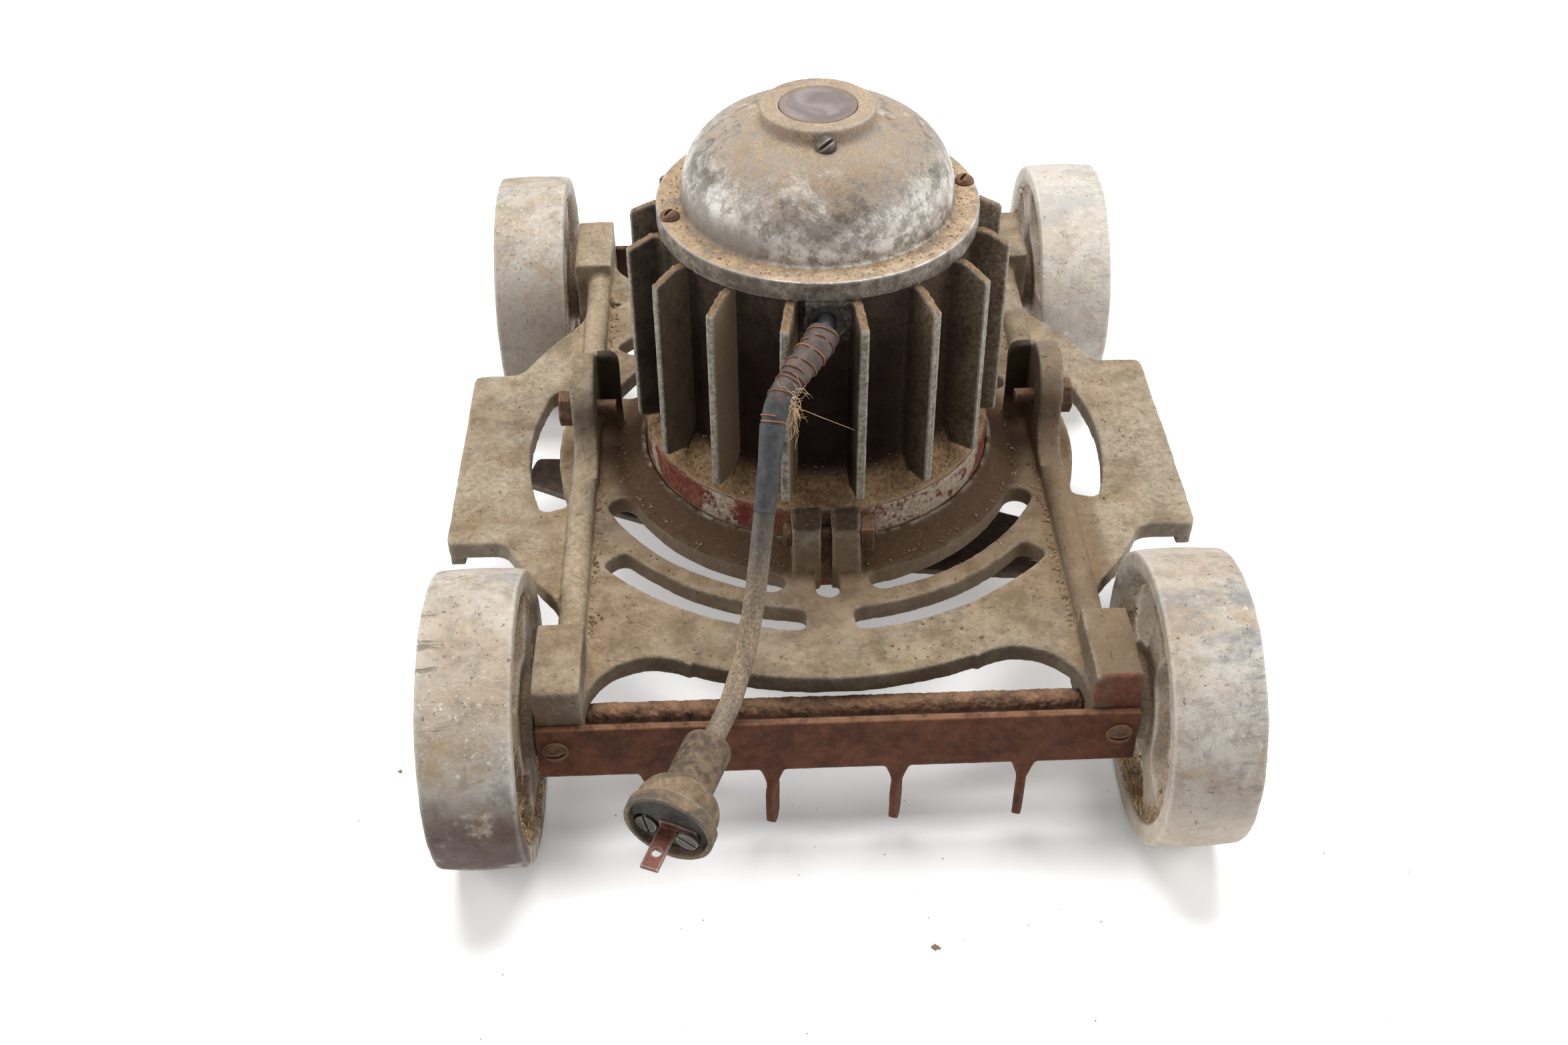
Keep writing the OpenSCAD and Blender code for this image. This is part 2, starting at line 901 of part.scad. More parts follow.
// Outline of the dome: a round shoulder below a flatter crown, height above the flange.
module dome_shape(grow) {
    corner_x = dome_r - shoulder_fillet;
    crown_c = -70;
    crown_r = 105 + grow;
    lean = atan2(corner_x, 5 - crown_c);
    translate([corner_x, 5])
        circle(r = shoulder_fillet + grow);
    translate([0, -1])
        square([dome_r + grow, 6]);
    translate([0, -1])
        square([corner_x + 1, 8]);
    intersection() {
        translate([0, crown_c])
            circle(r = crown_r, $fn = 256);
        polygon([[0, crown_c], [200 * sin(lean), crown_c + 200 * cos(lean)], [0, 130]]);
        translate([0, -1])
            square([60, 60]);
    }
}

module dome_half(grow) {
    intersection() {
        dome_shape(grow);
        square([80, 80]);
    }
}

module dome_cover() {
    color(alloy)
        on_motor()
            difference() {
                union() {
                    translate([0, 0, flange_low])
                        cylinder(r = flange_r, h = flange_top - flange_low, $fn = 192);
                    translate([0, 0, dome_low])
                        rotate_extrude($fn = 144)
                            dome_half(0);
                    translate([0, 0, window_top - 12])
                        cylinder(r = window_r, h = 12, $fn = 96);
                }
                translate([0, 0, dome_low])
                    rotate_extrude($fn = 144)
                        dome_half(-dome_wall);
                translate([0, 0, flange_low - 1])
                    cylinder(r = dome_r - dome_wall, h = dome_low - flange_low + 1.01, $fn = 144);
                translate([0, 0, 200])
                    cylinder(r = 11.5, h = 30, $fn = 64);
                translate([0, 0, window_top - 5])
                    cylinder(r = glass_r + 0.2, h = 10, $fn = 96);
                for (a = screw_turns)
                    rotate(a)
                        translate([screw_r, 0, flange_low - 1])
                            cylinder(r = 2.1, h = 20, $fn = 32);
            }
}

module cover_screws() {
    color(rust)
        on_motor()
            for (a = screw_turns)
                rotate(a)
                    translate([screw_r, 0, flange_top])
                        slotted_screw(3.9, 3, 1.95, 20, 50 - a);
}

module window_gasket() {
    color([0.2, 0.16, 0.12])
        on_motor()
            difference() {
                translate([0, 0, window_top - 5])
                    cylinder(r = glass_r, h = 1, $fn = 96);
                translate([0, 0, window_top - 6])
                    cylinder(r = 11.5, h = 4, $fn = 64);
            }
}

module sight_glass() {
    color([0.55, 0.5, 0.47, 0.5])
        on_motor()
            translate([0, 0, window_top - 4])
                cylinder(r = glass_r, h = 3.6, $fn = 96);
}

// Window screw, leaning forward out of the foot of the collar.
module dome_screw() {
    color(steel)
        on_motor()
            translate([1.5, -22.6, 217])
                rotate([58, 0, 0])
                    slotted_screw(4.1, 3.2, 2, 3, 35);
}

// ---------- rotor and cutter ----------

module shaft() {
    color(steel)
        on_motor() {
            translate([0, 0, 24])
                cylinder(r = shaft_r, h = 160, $fn = 64);
            translate([0, 0, 15])
                cylinder(r = 4, h = 10, $fn = 48);
        }
}

module armature_core() {
    color(steel)
        on_motor()
            translate([0, 0, core_z[0]])
                linear_extrude(height = core_z[1] - core_z[0])
                    difference() {
                        circle(r = core_bore - 0.5);
                        circle(r = shaft_r);
                        for (k = [0 : 11])
                            rotate(k * 30)
                                translate([23, 0])
                                    circle(r = 2.6, $fn = 32);
                    }
}

module armature_windings() {
    color(copper)
        on_motor() {
            for (z = [core_z[0] - 4.5, core_z[1] + 4.5])
                translate([0, 0, z])
                    rotate_extrude($fn = 96) {
                        translate([12, -4.5])
                            square([9, 9]);
                        translate([21, 0])
                            circle(r = 4.5, $fn = 48);
                    }
            for (k = [0 : 11])
                rotate(k * 30)
                    translate([23, 0, core_z[0] - 2])
                        cylinder(r = 2.6, h = core_z[1] - core_z[0] + 4, $fn = 32);
        }
}

module commutator() {
    color(copper)
        on_motor()
            translate([0, 0, 156])
                linear_extrude(height = 14)
                    difference() {
                        circle(r = 11);
                        circle(r = shaft_r);
                        for (k = [0 : 11])
                            rotate(k * 30)
                                translate([9.4, -0.4])
                                    square([3, 0.8]);
                    }
}

module cutter_hub() {
    color(steel)
        on_motor()
            difference() {
                union() {
                    translate([0, 0, blade_z])
                        cylinder(r = 24, h = 5, $fn = 96);
                    translate([0, 0, blade_z + 5])
                        cylinder(r = 13, h = 24, $fn = 64);
                }
                translate([0, 0, blade_z - 1])
                    cylinder(r = shaft_r, h = 40, $fn = 64);
            }
}

// Half of the blade, from the hub to one tip.
module blade_half() {
    polygon([[0, -28], [30, -28], [87, -19], [cut_r - 1, -blade_tip], [cut_r, -blade_tip + 2],
             [cut_r, blade_tip - 2], [cut_r - 1, blade_tip], [87, 19], [30, 28], [0, 28]]);
}

module cutter_blade() {
    color([0.25, 0.2, 0.17])
        on_motor()
            translate([0, 0, blade_z - blade_t])
                rotate(blade_turn)
                    linear_extrude(height = blade_t)
                        difference() {
                            union() {
                                blade_half();
                                rotate(180)
                                    blade_half();
                            }
                            circle(r = shaft_r, $fn = 64);
                        }
}

module blade_nut() {
    color(rust)
        on_motor()
            difference() {
                union() {
                    translate([0, 0, blade_z - blade_t - 2])
                        cylinder(r = 11, h = 2, $fn = 64);
                    translate([0, 0, blade_z - blade_t - 8])
                        hex_prism(14.3, 6);
                }
                translate([0, 0, 10])
                    cylinder(r = 4, h = 14.01, $fn = 48);
                translate([0, 0, 24])
                    cylinder(r = shaft_r, h = 3, $fn = 64);
            }
}

// ---------- cord and plug ----------

route = [[0, -61, 168], [-1, -67.5, 167.5], [-4, -74, 165.5], [-9, -81, 163], [-14, -88, 160.5],
         [-18, -94, 157], [-20, -98.5, 152], [-21, -102.5, 146], [-22, -107, 138], [-23.5, -113, 128],
         [-25, -119, 118], [-26.5, -124.5, 109], [-28, -130, 100], [-30, -136, 91], [-32, -142, 83.5],
         [-35, -149, 77.5], [-38, -157, 73.5], [-41.7, -164.7, 71.2], [-44.8, -170.9, 70.1], [-47.3, -176.8, 69.5]];
sides = 12;

function unit(v) = v / norm(v);
function point_dir(p, i) = unit(p[min(i + 1, len(p) - 1)] - p[max(i - 1, 0)]);
function across(d) = unit(cross(d, [1, 0, 0]));
function up_from(d) = cross(across(d), d);
// Points between the route points, on a smooth curve.
function smooth(p, i, t) =
    let (a = p[max(i - 1, 0)], b = p[i], c = p[i + 1], e = p[min(i + 2, len(p) - 1)])
    0.5 * (2 * b + (c - a) * t + (2 * a - 5 * b + 4 * c - e) * t * t
    + (3 * b - a - 3 * c + e) * t * t * t);
function fine(p, n) = [for (i = [0 : len(p) - 2], k = [0 : n - 1]) smooth(p, i, k / n), p[len(p) - 1]];
function ring_at(c, d, r) =
    [for (k = [0 : sides - 1]) c + r * cos(k * 360 / sides) * across(d) + r * sin(k * 360 / sides) * up_from(d)];

module tube(p, radii) {
    n = len(p);
    pts = [for (i = [0 : n - 1]) each ring_at(p[i], point_dir(p, i), radii[i])];
    walls = [for (i = [0 : n - 2], k = [0 : sides - 1])
             [i * sides + k, i * sides + (k + 1) % sides,
              (i + 1) * sides + (k + 1) % sides, (i + 1) * sides + k]];
    first = [for (k = [0 : sides - 1]) sides - 1 - k];
    last = [for (k = [0 : sides - 1]) (n - 1) * sides + k];
    polyhedron(points = pts, faces = concat([first], walls, [last]), convexity = 6);
}

cord_line = fine(route, 3);

// FACETED: swept tube
module cord() {
    color(rubber)
        tube(cord_line, [for (i = [0 : len(cord_line) - 1]) cord_d / 2]);
}

tape_line = [for (i = [4 : 27]) cord_line[i]];
tape_taper = 1.8;

// FACETED: swept sleeve round the cord
module cord_tape() {
    color([0.22, 0.18, 0.15])
        difference() {
            tube(tape_line, [for (i = [0 : len(tape_line) - 1]) tape_d / 2 - tape_taper * i / (len(tape_line) - 1)]);
            tube(cord_line, [for (i = [0 : len(cord_line) - 1]) cord_d / 2 + 0.05]);
        }
}

module gland_bush() {
    color(rubber)
        on_motor()
            translate([0, -53, gland_z])
                rotate([90, 0, 0])
                    difference() {
                        cylinder(r = 6.4, h = 7.2, $fn = 64);
                        translate([0, 0, -1])
                            cylinder(r = cord_d / 2, h = 20, $fn = 48);
                    }
}

// Plug frame: origin at the neck end, +Z out through the face, which droops a little.
module on_plug() {
    translate([-45, -171.3, 70])
        rotate([0, 0, -22.5])
            rotate([90 + plug_droop, 0, 0])
                children();
}

module plug_body() {
    color([0.33, 0.3, 0.26])
        on_plug()
            difference() {
                rotate_extrude($fn = 96) {
                    polygon([[0, 0], [6.9, 0], [7.9, 0.6], [8.6, 2], [8.6, 23], [0, 23]]);
                    intersection() {
                        translate([shoulder_r - 8.5, 29])
                            circle(r = 8.5, $fn = 64);
                        square([30, 29.01]);
                    }
                    translate([0, 22])
                        square([shoulder_r - 8.4, 7]);
                    translate([0, 29])
                        square([shoulder_r, 4]);
                    translate([0, 32.5])
                        square([plug_r, plug_len - 32.5]);
                }
                translate([0, 0, plug_face_low])
                    cylinder(r = plug_face_r, h = 20, $fn = 96);
                translate([0, 0, -1])
                    cylinder(r = cord_d / 2, h = 8, $fn = 48);
            }
}

// Insulating disc with a pocket round the left screw, a blade slot and two notches in its edge.
module plug_face() {
    color([0.1, 0.1, 0.11])
        on_plug()
            difference() {
                translate([0, 0, plug_face_low])
                    cylinder(r = plug_face_r, h = plug_face_top - plug_face_low, $fn = 96);
                translate([plug_screw_x[0], plug_screw_y, plug_face_top - 2.5])
                    cylinder(r = 4.8, h = 4, $fn = 48);
                translate([plug_screw_x[1], plug_screw_y, 33])
                    cylinder(r = 1.5, h = 8, $fn = 32);
                translate([blade_x - 3.2, blade_y - 0.8, 32])
                    cube([6.4, 1.6, 8]);
                for (notch = [[1, -14.4, 3], [9.4, -11, 2.4]])
                    translate([notch[0], notch[1], plug_face_top - 2.5])
                        cylinder(r = notch[2], h = 6, $fn = 48);
            }
}

// The blade and its foot, which runs under the right screw.
module plug_blade() {
    color(copper)
        on_plug()
            difference() {
                union() {
                    translate([blade_x - 3.175, blade_y - 0.75, 32])
                        cube([6.35, 1.5, plug_face_top + 17.3 - 32]);
                    translate([0, 0, plug_face_top])
                        linear_extrude(height = 1)
                            polygon([[-3.5, blade_y - 0.75], [-3.5, 1.6], [2, 1.6], [9.6, 0.2],
                                     [10.2, -6.6], [3.5, -7.2], [3.2, blade_y - 0.75]]);
                }
                translate([blade_x, blade_y + 5, plug_face_top + 10.8])
                    rotate([90, 0, 0])
                        cylinder(r = 1.7, h = 10, $fn = 32);
                translate([plug_screw_x[1], plug_screw_y, plug_face_top - 1])
                    cylinder(r = 1.5, h = 4, $fn = 32);
            }
}

module plug_screws() {
    color(steel)
        on_plug()
            for (k = [0, 1])
                translate([plug_screw_x[k], plug_screw_y, plug_face_top + (k == 0 ? -2.5 : 1)])
                    difference() {
                        union() {
                            cylinder(r = 3.9, h = k == 0 ? 3.2 : 1.8, $fn = 48);
                            if (k == 1)
                                translate([0, 0, -2.5])
                                    cylinder(r = 1.5, h = 3, $fn = 32);
                        }
                        rotate(k == 0 ? 100 : 150)
                            translate([-5, -0.5, k == 0 ? 2.2 : 0.9])
                                cube([10, 1, 3]);
                    }
}

deck_casting();
comb_bar();
comb_screws();
rear_bar();
rear_screws();
front_axle();
rear_axle();
axle_washers();
cotter_pins();
wheel_front_left();
wheel_front_right();
wheel_rear_left();
wheel_rear_right();
handle_bolts();
clamp_bolt();
clamp_nut();
motor_housing();
base_ring();
base_screws();
lower_bracket();
lower_bush();
upper_bracket();
upper_bush();
stator_core();
field_coils();
brush_holders();
brushes();
brush_caps();
dome_cover();
cover_screws();
window_gasket();
sight_glass();
dome_screw();
gland_bush();
cord();
cord_tape();
plug_body();
plug_face();
plug_blade();
plug_screws();
shaft();
armature_core();
armature_windings();
commutator();
cutter_hub();
cutter_blade();
blade_nut();
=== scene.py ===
import math
import random

import bpy
from mathutils import Matrix, Vector, noise


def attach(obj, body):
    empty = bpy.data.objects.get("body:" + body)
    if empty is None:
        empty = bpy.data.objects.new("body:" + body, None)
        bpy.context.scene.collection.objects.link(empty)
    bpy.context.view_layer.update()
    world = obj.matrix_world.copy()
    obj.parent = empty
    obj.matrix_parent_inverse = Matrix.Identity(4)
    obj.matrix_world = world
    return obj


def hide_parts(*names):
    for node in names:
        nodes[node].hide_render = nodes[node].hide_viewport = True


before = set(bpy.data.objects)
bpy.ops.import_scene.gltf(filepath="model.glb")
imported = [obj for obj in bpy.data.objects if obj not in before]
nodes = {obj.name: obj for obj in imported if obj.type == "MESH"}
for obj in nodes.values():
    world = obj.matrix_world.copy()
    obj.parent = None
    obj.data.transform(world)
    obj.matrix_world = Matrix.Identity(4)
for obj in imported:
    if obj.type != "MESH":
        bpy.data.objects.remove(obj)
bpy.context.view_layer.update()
MM = 0.001
TURN = 2 * math.pi
scene = bpy.context.scene
scene.view_settings.view_transform = "Standard"

# ---------- camera ----------

CAM_PLACE = Vector((-0.03204, -0.56132, 0.50207))
CAM_YAW, CAM_PITCH, CAM_ROLL = -0.033156, 0.707512, -0.007674
CAM_LENS, CAM_SENSOR = 38.73, 36


def add_camera():
    flat = math.cos(CAM_PITCH)
    ahead = Vector((-math.sin(CAM_YAW) * flat, math.cos(CAM_YAW) * flat, -math.sin(CAM_PITCH)))
    level = Vector((math.cos(CAM_YAW), math.sin(CAM_YAW), 0))
    above = level.cross(ahead)
    right = level * math.cos(CAM_ROLL) + above * math.sin(CAM_ROLL)
    up = above * math.cos(CAM_ROLL) - level * math.sin(CAM_ROLL)
    data = bpy.data.cameras.new("camera")
    data.lens = CAM_LENS
    data.sensor_width = CAM_SENSOR
    data.clip_start = 0.01
    cam = bpy.data.objects.new("camera", data)
    pose = Matrix((right, up, -ahead)).transposed().to_4x4()
    pose.translation = CAM_PLACE
    cam.matrix_world = pose
    scene.collection.objects.link(cam)
    scene.camera = cam


add_camera()

# ---------- lights ----------

WHITE = (1, 1, 1, 1)


def area(name, place, aim, size, power):
    data = bpy.data.lights.new(name, "AREA")
    data.shape = "RECTANGLE"
    data.size, data.size_y = size
    data.energy = power
    lamp = bpy.data.objects.new(name, data)
    lamp.location = place
    lamp.rotation_euler = (Vector(aim) - Vector(place)).to_track_quat("-Z", "Y").to_euler()
    scene.collection.objects.link(lamp)


area("key_above", (0.0, 0.3, 1.4), (0, 0, 0.1), (1.2, 0.8), 31)
area("soft_left", (-1.3, -0.25, 0.7), (0, 0, 0.08), (0.7, 0.8), 11)
area("soft_right", (1.3, -0.25, 0.7), (0, 0, 0.08), (0.7, 0.8), 11)
area("fill_front", (0.6, -1.7, 0.9), (0.1, 0, 0.05), (1.6, 0.8), 2.2)

world = bpy.data.worlds.new("studio")
scene.world = world
world.use_nodes = True
background = world.node_tree.nodes["Background"]
background.inputs["Color"].default_value = WHITE
background.inputs["Strength"].default_value = 0.3

# ---------- material building blocks ----------

AO_SAMPLES = 6


def srgb(r, g, b):
    """A linear colour from sRGB values of 0 to 255."""
    shares = (v / 255 for v in (r, g, b))
    return tuple(v / 12.92 if v <= 10 / 255 else ((v + 0.055) / 1.055) ** 2.4 for v in shares) + (1.0,)


class Graph:
    """A node material under construction: nearly every method adds nodes and returns an output socket."""

    def __init__(self, name):
        self.mat = bpy.data.materials.new(name)
        self.mat.use_nodes = True
        self.tree = self.mat.node_tree
        self.tree.nodes.clear()
        coord = self.tree.nodes.new("ShaderNodeTexCoord")
        self.place = coord.outputs["Object"]
        self.normal = coord.outputs["Normal"]

    def node(self, kind, sockets, out=0, **props):
        n = self.tree.nodes.new(kind)
        for k, v in props.items():
            setattr(n, k, v)
        for k, v in sockets.items():
            if isinstance(v, bpy.types.NodeSocket):
                self.tree.links.new(v, n.inputs[k])
            else:
                n.inputs[k].default_value = v
        return n.outputs[out] if n.outputs else n

    # textures and places

    def stretched(self, x, y, z):
        return self.node("ShaderNodeMapping", {"Vector": self.place, "Scale": (x, y, z)})

    def noise(self, scale, detail, rough, twist=0.0, at=None):
        return self.node("ShaderNodeTexNoise", {
            "Vector": at or self.place, "Scale": scale, "Detail": detail, "Roughness": rough,
            "Distortion": twist})

    def cells(self, scale):
        return self.node("ShaderNodeTexVoronoi", {"Vector": self.place, "Scale": scale}, feature="F1")

    def axis(self, k, of=None):
        return self.node("ShaderNodeSeparateXYZ", {0: of or self.place}, out=k)

    def radius(self, cx, cy):
        """Distance from an upright axis through (cx, cy)."""
        flat = self.node("ShaderNodeVectorMath", {0: self.place, 1: (cx, cy, 0)}, operation="SUBTRACT")
        flat = self.node("ShaderNodeVectorMath", {0: flat, 1: (1, 1, 0)}, operation="MULTIPLY")
        return self.node("ShaderNodeVectorMath", {0: flat}, out=1, operation="LENGTH")

    # shares between 0 and 1

    def band(self, value, low, high):
        """0 below low, 1 above high, smooth between."""
        return self.node("ShaderNodeMapRange", {0: value, 1: low, 2: high}, interpolation_type="SMOOTHSTEP")

    def under(self, value, low, high):
        """1 below low, 0 above high, smooth between."""
        return self.inverse(self.band(value, low, high))

    def ramp(self, value, low, high, out_low, out_high):
        return self.node("ShaderNodeMapRange", {0: value, 1: low, 2: high, 3: out_low, 4: out_high})

    def calc(self, kind, a, b, clamp=True):
        return self.node("ShaderNodeMath", {0: a, 1: b}, operation=kind, use_clamp=clamp)

    def times(self, first, *others):
        for other in others:
            first = self.calc("MULTIPLY", first, other)
        return first

    def plus(self, a, b):
        return self.calc("ADD", a, b)

    def most(self, a, b):
        return self.calc("MAXIMUM", a, b)

    def size(self, a):
        return self.calc("ABSOLUTE", a, 0.0, False)

    def inverse(self, share):
        return self.calc("SUBTRACT", 1.0, share)

    def facing_up(self, low, high):
        return self.band(self.axis(2, self.normal), low, high)

    def corners(self, reach, low, high):
        """Near 1 where other surfaces are close, as in corners."""
        open_share = self.node("ShaderNodeAmbientOcclusion", {"Distance": reach}, out=1,
                               samples=AO_SAMPLES)
        return self.band(self.inverse(open_share), low, high)

    def edges(self, reach):
        """Near 1 on outer edges, where the solid behind the surface is thin."""
        inner = self.node("ShaderNodeAmbientOcclusion", {"Distance": reach}, out=1,
                          samples=AO_SAMPLES, inside=True, only_local=True)
        return self.band(self.inverse(inner), 0.08, 0.4)

    # colours

    def mix(self, share, a, b):
        return self.node("ShaderNodeMix", {0: share, 6: a, 7: b}, out=2, data_type="RGBA")

    def tones(self, value, low, high, dark, light):
        """One colour below low, the other above high."""
        return self.mix(self.band(value, low, high), dark, light)

    def paint(self, colour, share, amount, coat):
        """Lays coat over colour where share says, no thicker than amount."""
        return self.mix(self.times(share, amount), colour, coat)

    def finish(self, colour, rough, metal, bumps=(), gloss=0.5, **extra):
        """The material; bumps are pairs of a height share and its depth in metres."""
        normal = None
        for height, depth in bumps:
            sockets = {"Height": height, "Distance": depth, "Strength": 1.0}
            if normal:
                sockets["Normal"] = normal
            normal = self.node("ShaderNodeBump", sockets)
        sockets = {"Base Color": colour, "Roughness": rough, "Metallic": metal, "Specular IOR Level": gloss}
        sockets.update(extra)
        if normal:
            sockets["Normal"] = normal
        shader = self.node("ShaderNodeBsdfPrincipled", sockets)
        self.node("ShaderNodeOutputMaterial", {"Surface": shader})
        return self.mat


# ---------- materials ----------

# Where a mask starts and where it is full: metres along x, y or z, or out from an axis.
MOTOR_AXIS = (0, -0.002)
# deck
WINGS_X, COLLAR_R, AROUND_COLLAR_R = (0.104, 0.112), (0.082, 0.09), (0.09, 0.12)
ABOVE_DECK_Z, FRONT_PART_Y, RIGHT_HALF_X = (0.078, 0.085), (0.02, 0.06), (-0.01, 0.01)
RAIL_IN_X, RAIL_OUT_X, LEFT_RAIL_X = (0.082, 0.092), (0.107, 0.112), (-0.09, -0.088)
LEFT_RAIL_Y, RAIL_FOOT_Z, RAIL_TOP_Z = (-0.121, -0.115), (0.071, 0.0745), (0.082, 0.088)
BLOCK_BACK_Y, BLOCK_FACE_Y = (-0.118, -0.108), (-0.1556, -0.154)
STOP_IN_X, STOP_OUT_X, STOP_Z = (0.078, 0.0795), (0.0888, 0.0896), (0.074, 0.082)
# wheels
AXLE_Y, AXLE_Z = 0.142, 0.054
RIM_R, SPOKE_R = (0.0444, 0.0458), (0.036, 0.043)
LEFT_WHEEL_X, RIGHT_WHEEL_X = (-0.1, -0.09), (0.09, 0.1)
FRONT_WHEEL_Y, REAR_WHEEL_Y, FRONT_HALF_Y = (-0.1, -0.09), (0.08, 0.09), (-0.02, 0.02)
TREAD_RIGHT_X, PALE_RIGHT_X, PALE_RIGHT_Z = (0.126, 0.1395), (0.1, 0.112), (0.04, 0.07)
SOIL_Z, SOIL_FOOT_Z, REAR_LEFT_Z = (0.054, 0.08), (0.02, 0.05), (0.075, 0.108)
LEFT_EDGE_X = (-0.138, -0.131)
# motor
FIN_R, FIN_TIP_R, FIN_TOP_Z, FIN_FOOT_Z = (0.0575, 0.073), (0.0718, 0.0729), (0.14, 0.172), (0.094, 0.102)
DUSTY_FIN_X, GREY_FIN_X, LEFT_FIN_X = (0.02, 0.034), (0.02, 0.05), (0.0, 0.01)
BOSS_X, BOSS_Y, BOSS_Z = (0.0085, 0.009), (-0.0588, -0.0582), (0.157, 0.159)
CROWN_Z, UPPER_DOME_Z, LOWER_DOME_Z = (0.2, 0.222), (0.198, 0.214), (0.19, 0.2)
MIDDLE_X, MIDDLE_Y, MIDDLE_Z, LEFT_DOME_X = (0.012, 0.046), (-0.055, -0.015), (0.186, 0.2), (-0.03, -0.008)
SPECKLED_Z, DOME_FOOT_Z, FLANGE_LOW_Z = (0.191, 0.196), (0.1855, 0.1905), (0.1838, 0.1846)
GLASS_RIM_R = (0.0115, 0.0142)
FLAKED_RIGHT_X, PAINT_RIGHT_X = (0.012, 0.03), (0.052, 0.066)
PAINT_LEFT_X, FLAKED_LEFT_X = (-0.062, -0.05), (-0.04, -0.03)
# cord, plug and floor
DUSTY_CORD_Z, PLUG_NECK_Y, SLEEVE_TO_TAPE_Z = (0.08, 0.14), (-0.198, -0.188), (0.1585, 0.1615)
UNDER_DECK_R, OPEN_FLOOR_R, DIP_R, DIP_Y = (0.08, 0.18), (0.18, 0.7), (0.3, 0.6), (-0.31, -0.19)


def cast_deck():
    g = Graph("cast_deck")
    big, mid, fine = g.noise(16, 6, 0.62), g.noise(85, 6, 0.68), g.noise(480, 5, 0.72)
    grain = g.noise(1700, 3, 0.65)
    x, y, z = g.axis(0), g.axis(1), g.axis(2)
    metal_tone = g.tones(mid, 0.36, 0.64, srgb(112, 101, 85), srgb(150, 140, 124))
    metal_tone = g.paint(metal_tone, g.band(g.noise(210, 5, 0.75), 0.55, 0.68), 0.5, srgb(174, 168, 156))
    mottle = g.plus(g.times(fine, 0.5), g.times(mid, 0.5))
    dust_tone = g.tones(mottle, 0.38, 0.62, srgb(128, 106, 80), srgb(166, 144, 116))
    lying = g.times(g.facing_up(0.2, 0.85), g.band(g.plus(big, g.times(mid, 0.4)), 0.52, 0.78))
    cover = g.plus(g.times(lying, 0.6), g.corners(0.016, 0.12, 0.5))
    cover = g.times(cover, g.band(fine, 0.22, 0.46))
    colour = g.mix(cover, metal_tone, dust_tone)
    patch = g.band(g.noise(38, 6, 0.7, 0.4), 0.42, 0.64)
    colour = g.paint(colour, patch, 0.42, srgb(118, 96, 72))
    # paler wings, dark dust with painted shade from the fins on the collar, brown dust with painted shade
    # round it, brown dust along the right rail
    wide, out = g.size(x), g.radius(*MOTOR_AXIS)
    wing = g.times(g.band(wide, *WINGS_X), g.band(g.noise(24, 6, 0.7), 0.4, 0.58))
    colour = g.paint(colour, wing, 0.5, g.tones(fine, 0.36, 0.64, srgb(142, 132, 116), srgb(178, 168, 150)))
    # painted shade from the fins, over real dust, darkens the collar and the deck round it
    ring = g.times(g.under(out, *COLLAR_R), g.facing_up(0.1, 0.5))
    ring_dust_and_shade = g.tones(fine, 0.3, 0.7, srgb(28, 16, 9), srgb(50, 32, 19))
    ring_dust_and_shade = g.tones(g.noise(700, 3, 0.7), 0.6, 0.7, ring_dust_and_shade, srgb(98, 74, 52))
    colour = g.paint(colour, ring, 0.92, ring_dust_and_shade)
    near = g.times(g.under(out, *AROUND_COLLAR_R), g.under(z, *ABOVE_DECK_Z))
    colour = g.paint(colour, near, 0.42, srgb(98, 74, 53))
    right = g.times(g.band(x, *RAIL_IN_X), g.under(x, *RAIL_OUT_X), g.under(y, *FRONT_PART_Y))
    colour = g.paint(colour, right, g.times(g.band(mid, 0.3, 0.55), 0.5), srgb(98, 76, 56))
    # specks, lint, worn edges, painted shade on the undersides
    specks = g.band(g.noise(330, 4, 0.75), 0.62, 0.7)
    colour = g.paint(colour, specks, 0.55, srgb(84, 68, 52))
    lint = g.band(g.noise(260, 5, 0.8, 2.5), 0.63, 0.69)
    colour = g.paint(colour, lint, 0.45, srgb(198, 180, 150))
    edge = g.times(g.edges(0.0018), g.band(g.noise(130, 5, 0.7), 0.4, 0.6))
    colour = g.paint(colour, edge, 0.6, srgb(196, 190, 178))
    # painted shade: surfaces that face down are darker
    shade = g.times(g.inverse(g.facing_up(-0.2, 0.5)), g.band(mid, 0.3, 0.5))
    colour = g.paint(colour, shade, 0.45, srgb(84, 70, 54))
    # old red on the front faces, most of it on the right, and chips of it on the right block
    face = g.times(g.under(y, *BLOCK_FACE_Y), g.band(g.noise(60, 5, 0.7), 0.42, 0.54))
    face = g.times(face, g.plus(0.2, g.times(g.band(x, *RIGHT_HALF_X), 0.8)))
    colour = g.paint(colour, face, 0.8, g.tones(fine, 0.4, 0.6, srgb(92, 44, 36), srgb(120, 66, 50)))
    chips = g.times(g.band(g.noise(170, 5, 0.75), 0.64, 0.68), g.times(right, g.band(y, *BLOCK_BACK_Y)))
    colour = g.mix(chips, colour, g.tones(fine, 0.4, 0.6, srgb(112, 44, 38), srgb(166, 62, 54)))
    # grease on the stops, painted light on the left rail
    stop = g.times(g.under(wide, *STOP_OUT_X), g.band(z, *STOP_Z), g.band(wide, *STOP_IN_X))
    stop = g.times(stop, g.band(fine, 0.1, 0.4))
    colour = g.paint(colour, stop, 0.85, srgb(48, 38, 31))
    # painted light: the left rail is paler
    rail = g.times(g.band(z, *RAIL_FOOT_Z), g.under(x, *LEFT_RAIL_X), g.band(y, *LEFT_RAIL_Y))
    rail = g.times(rail, g.under(z, *RAIL_TOP_Z))
    colour = g.paint(colour, rail, 0.4, g.tones(fine, 0.35, 0.65, srgb(150, 132, 110), srgb(188, 172, 148)))
    rough = g.ramp(cover, 0.0, 1.0, 0.5, 0.95)
    return g.finish(colour, rough, 0.1,
                    [(mid, 0.0008), (fine, 0.0008), (grain, 0.0004), (specks, -0.0003)], 0.15)


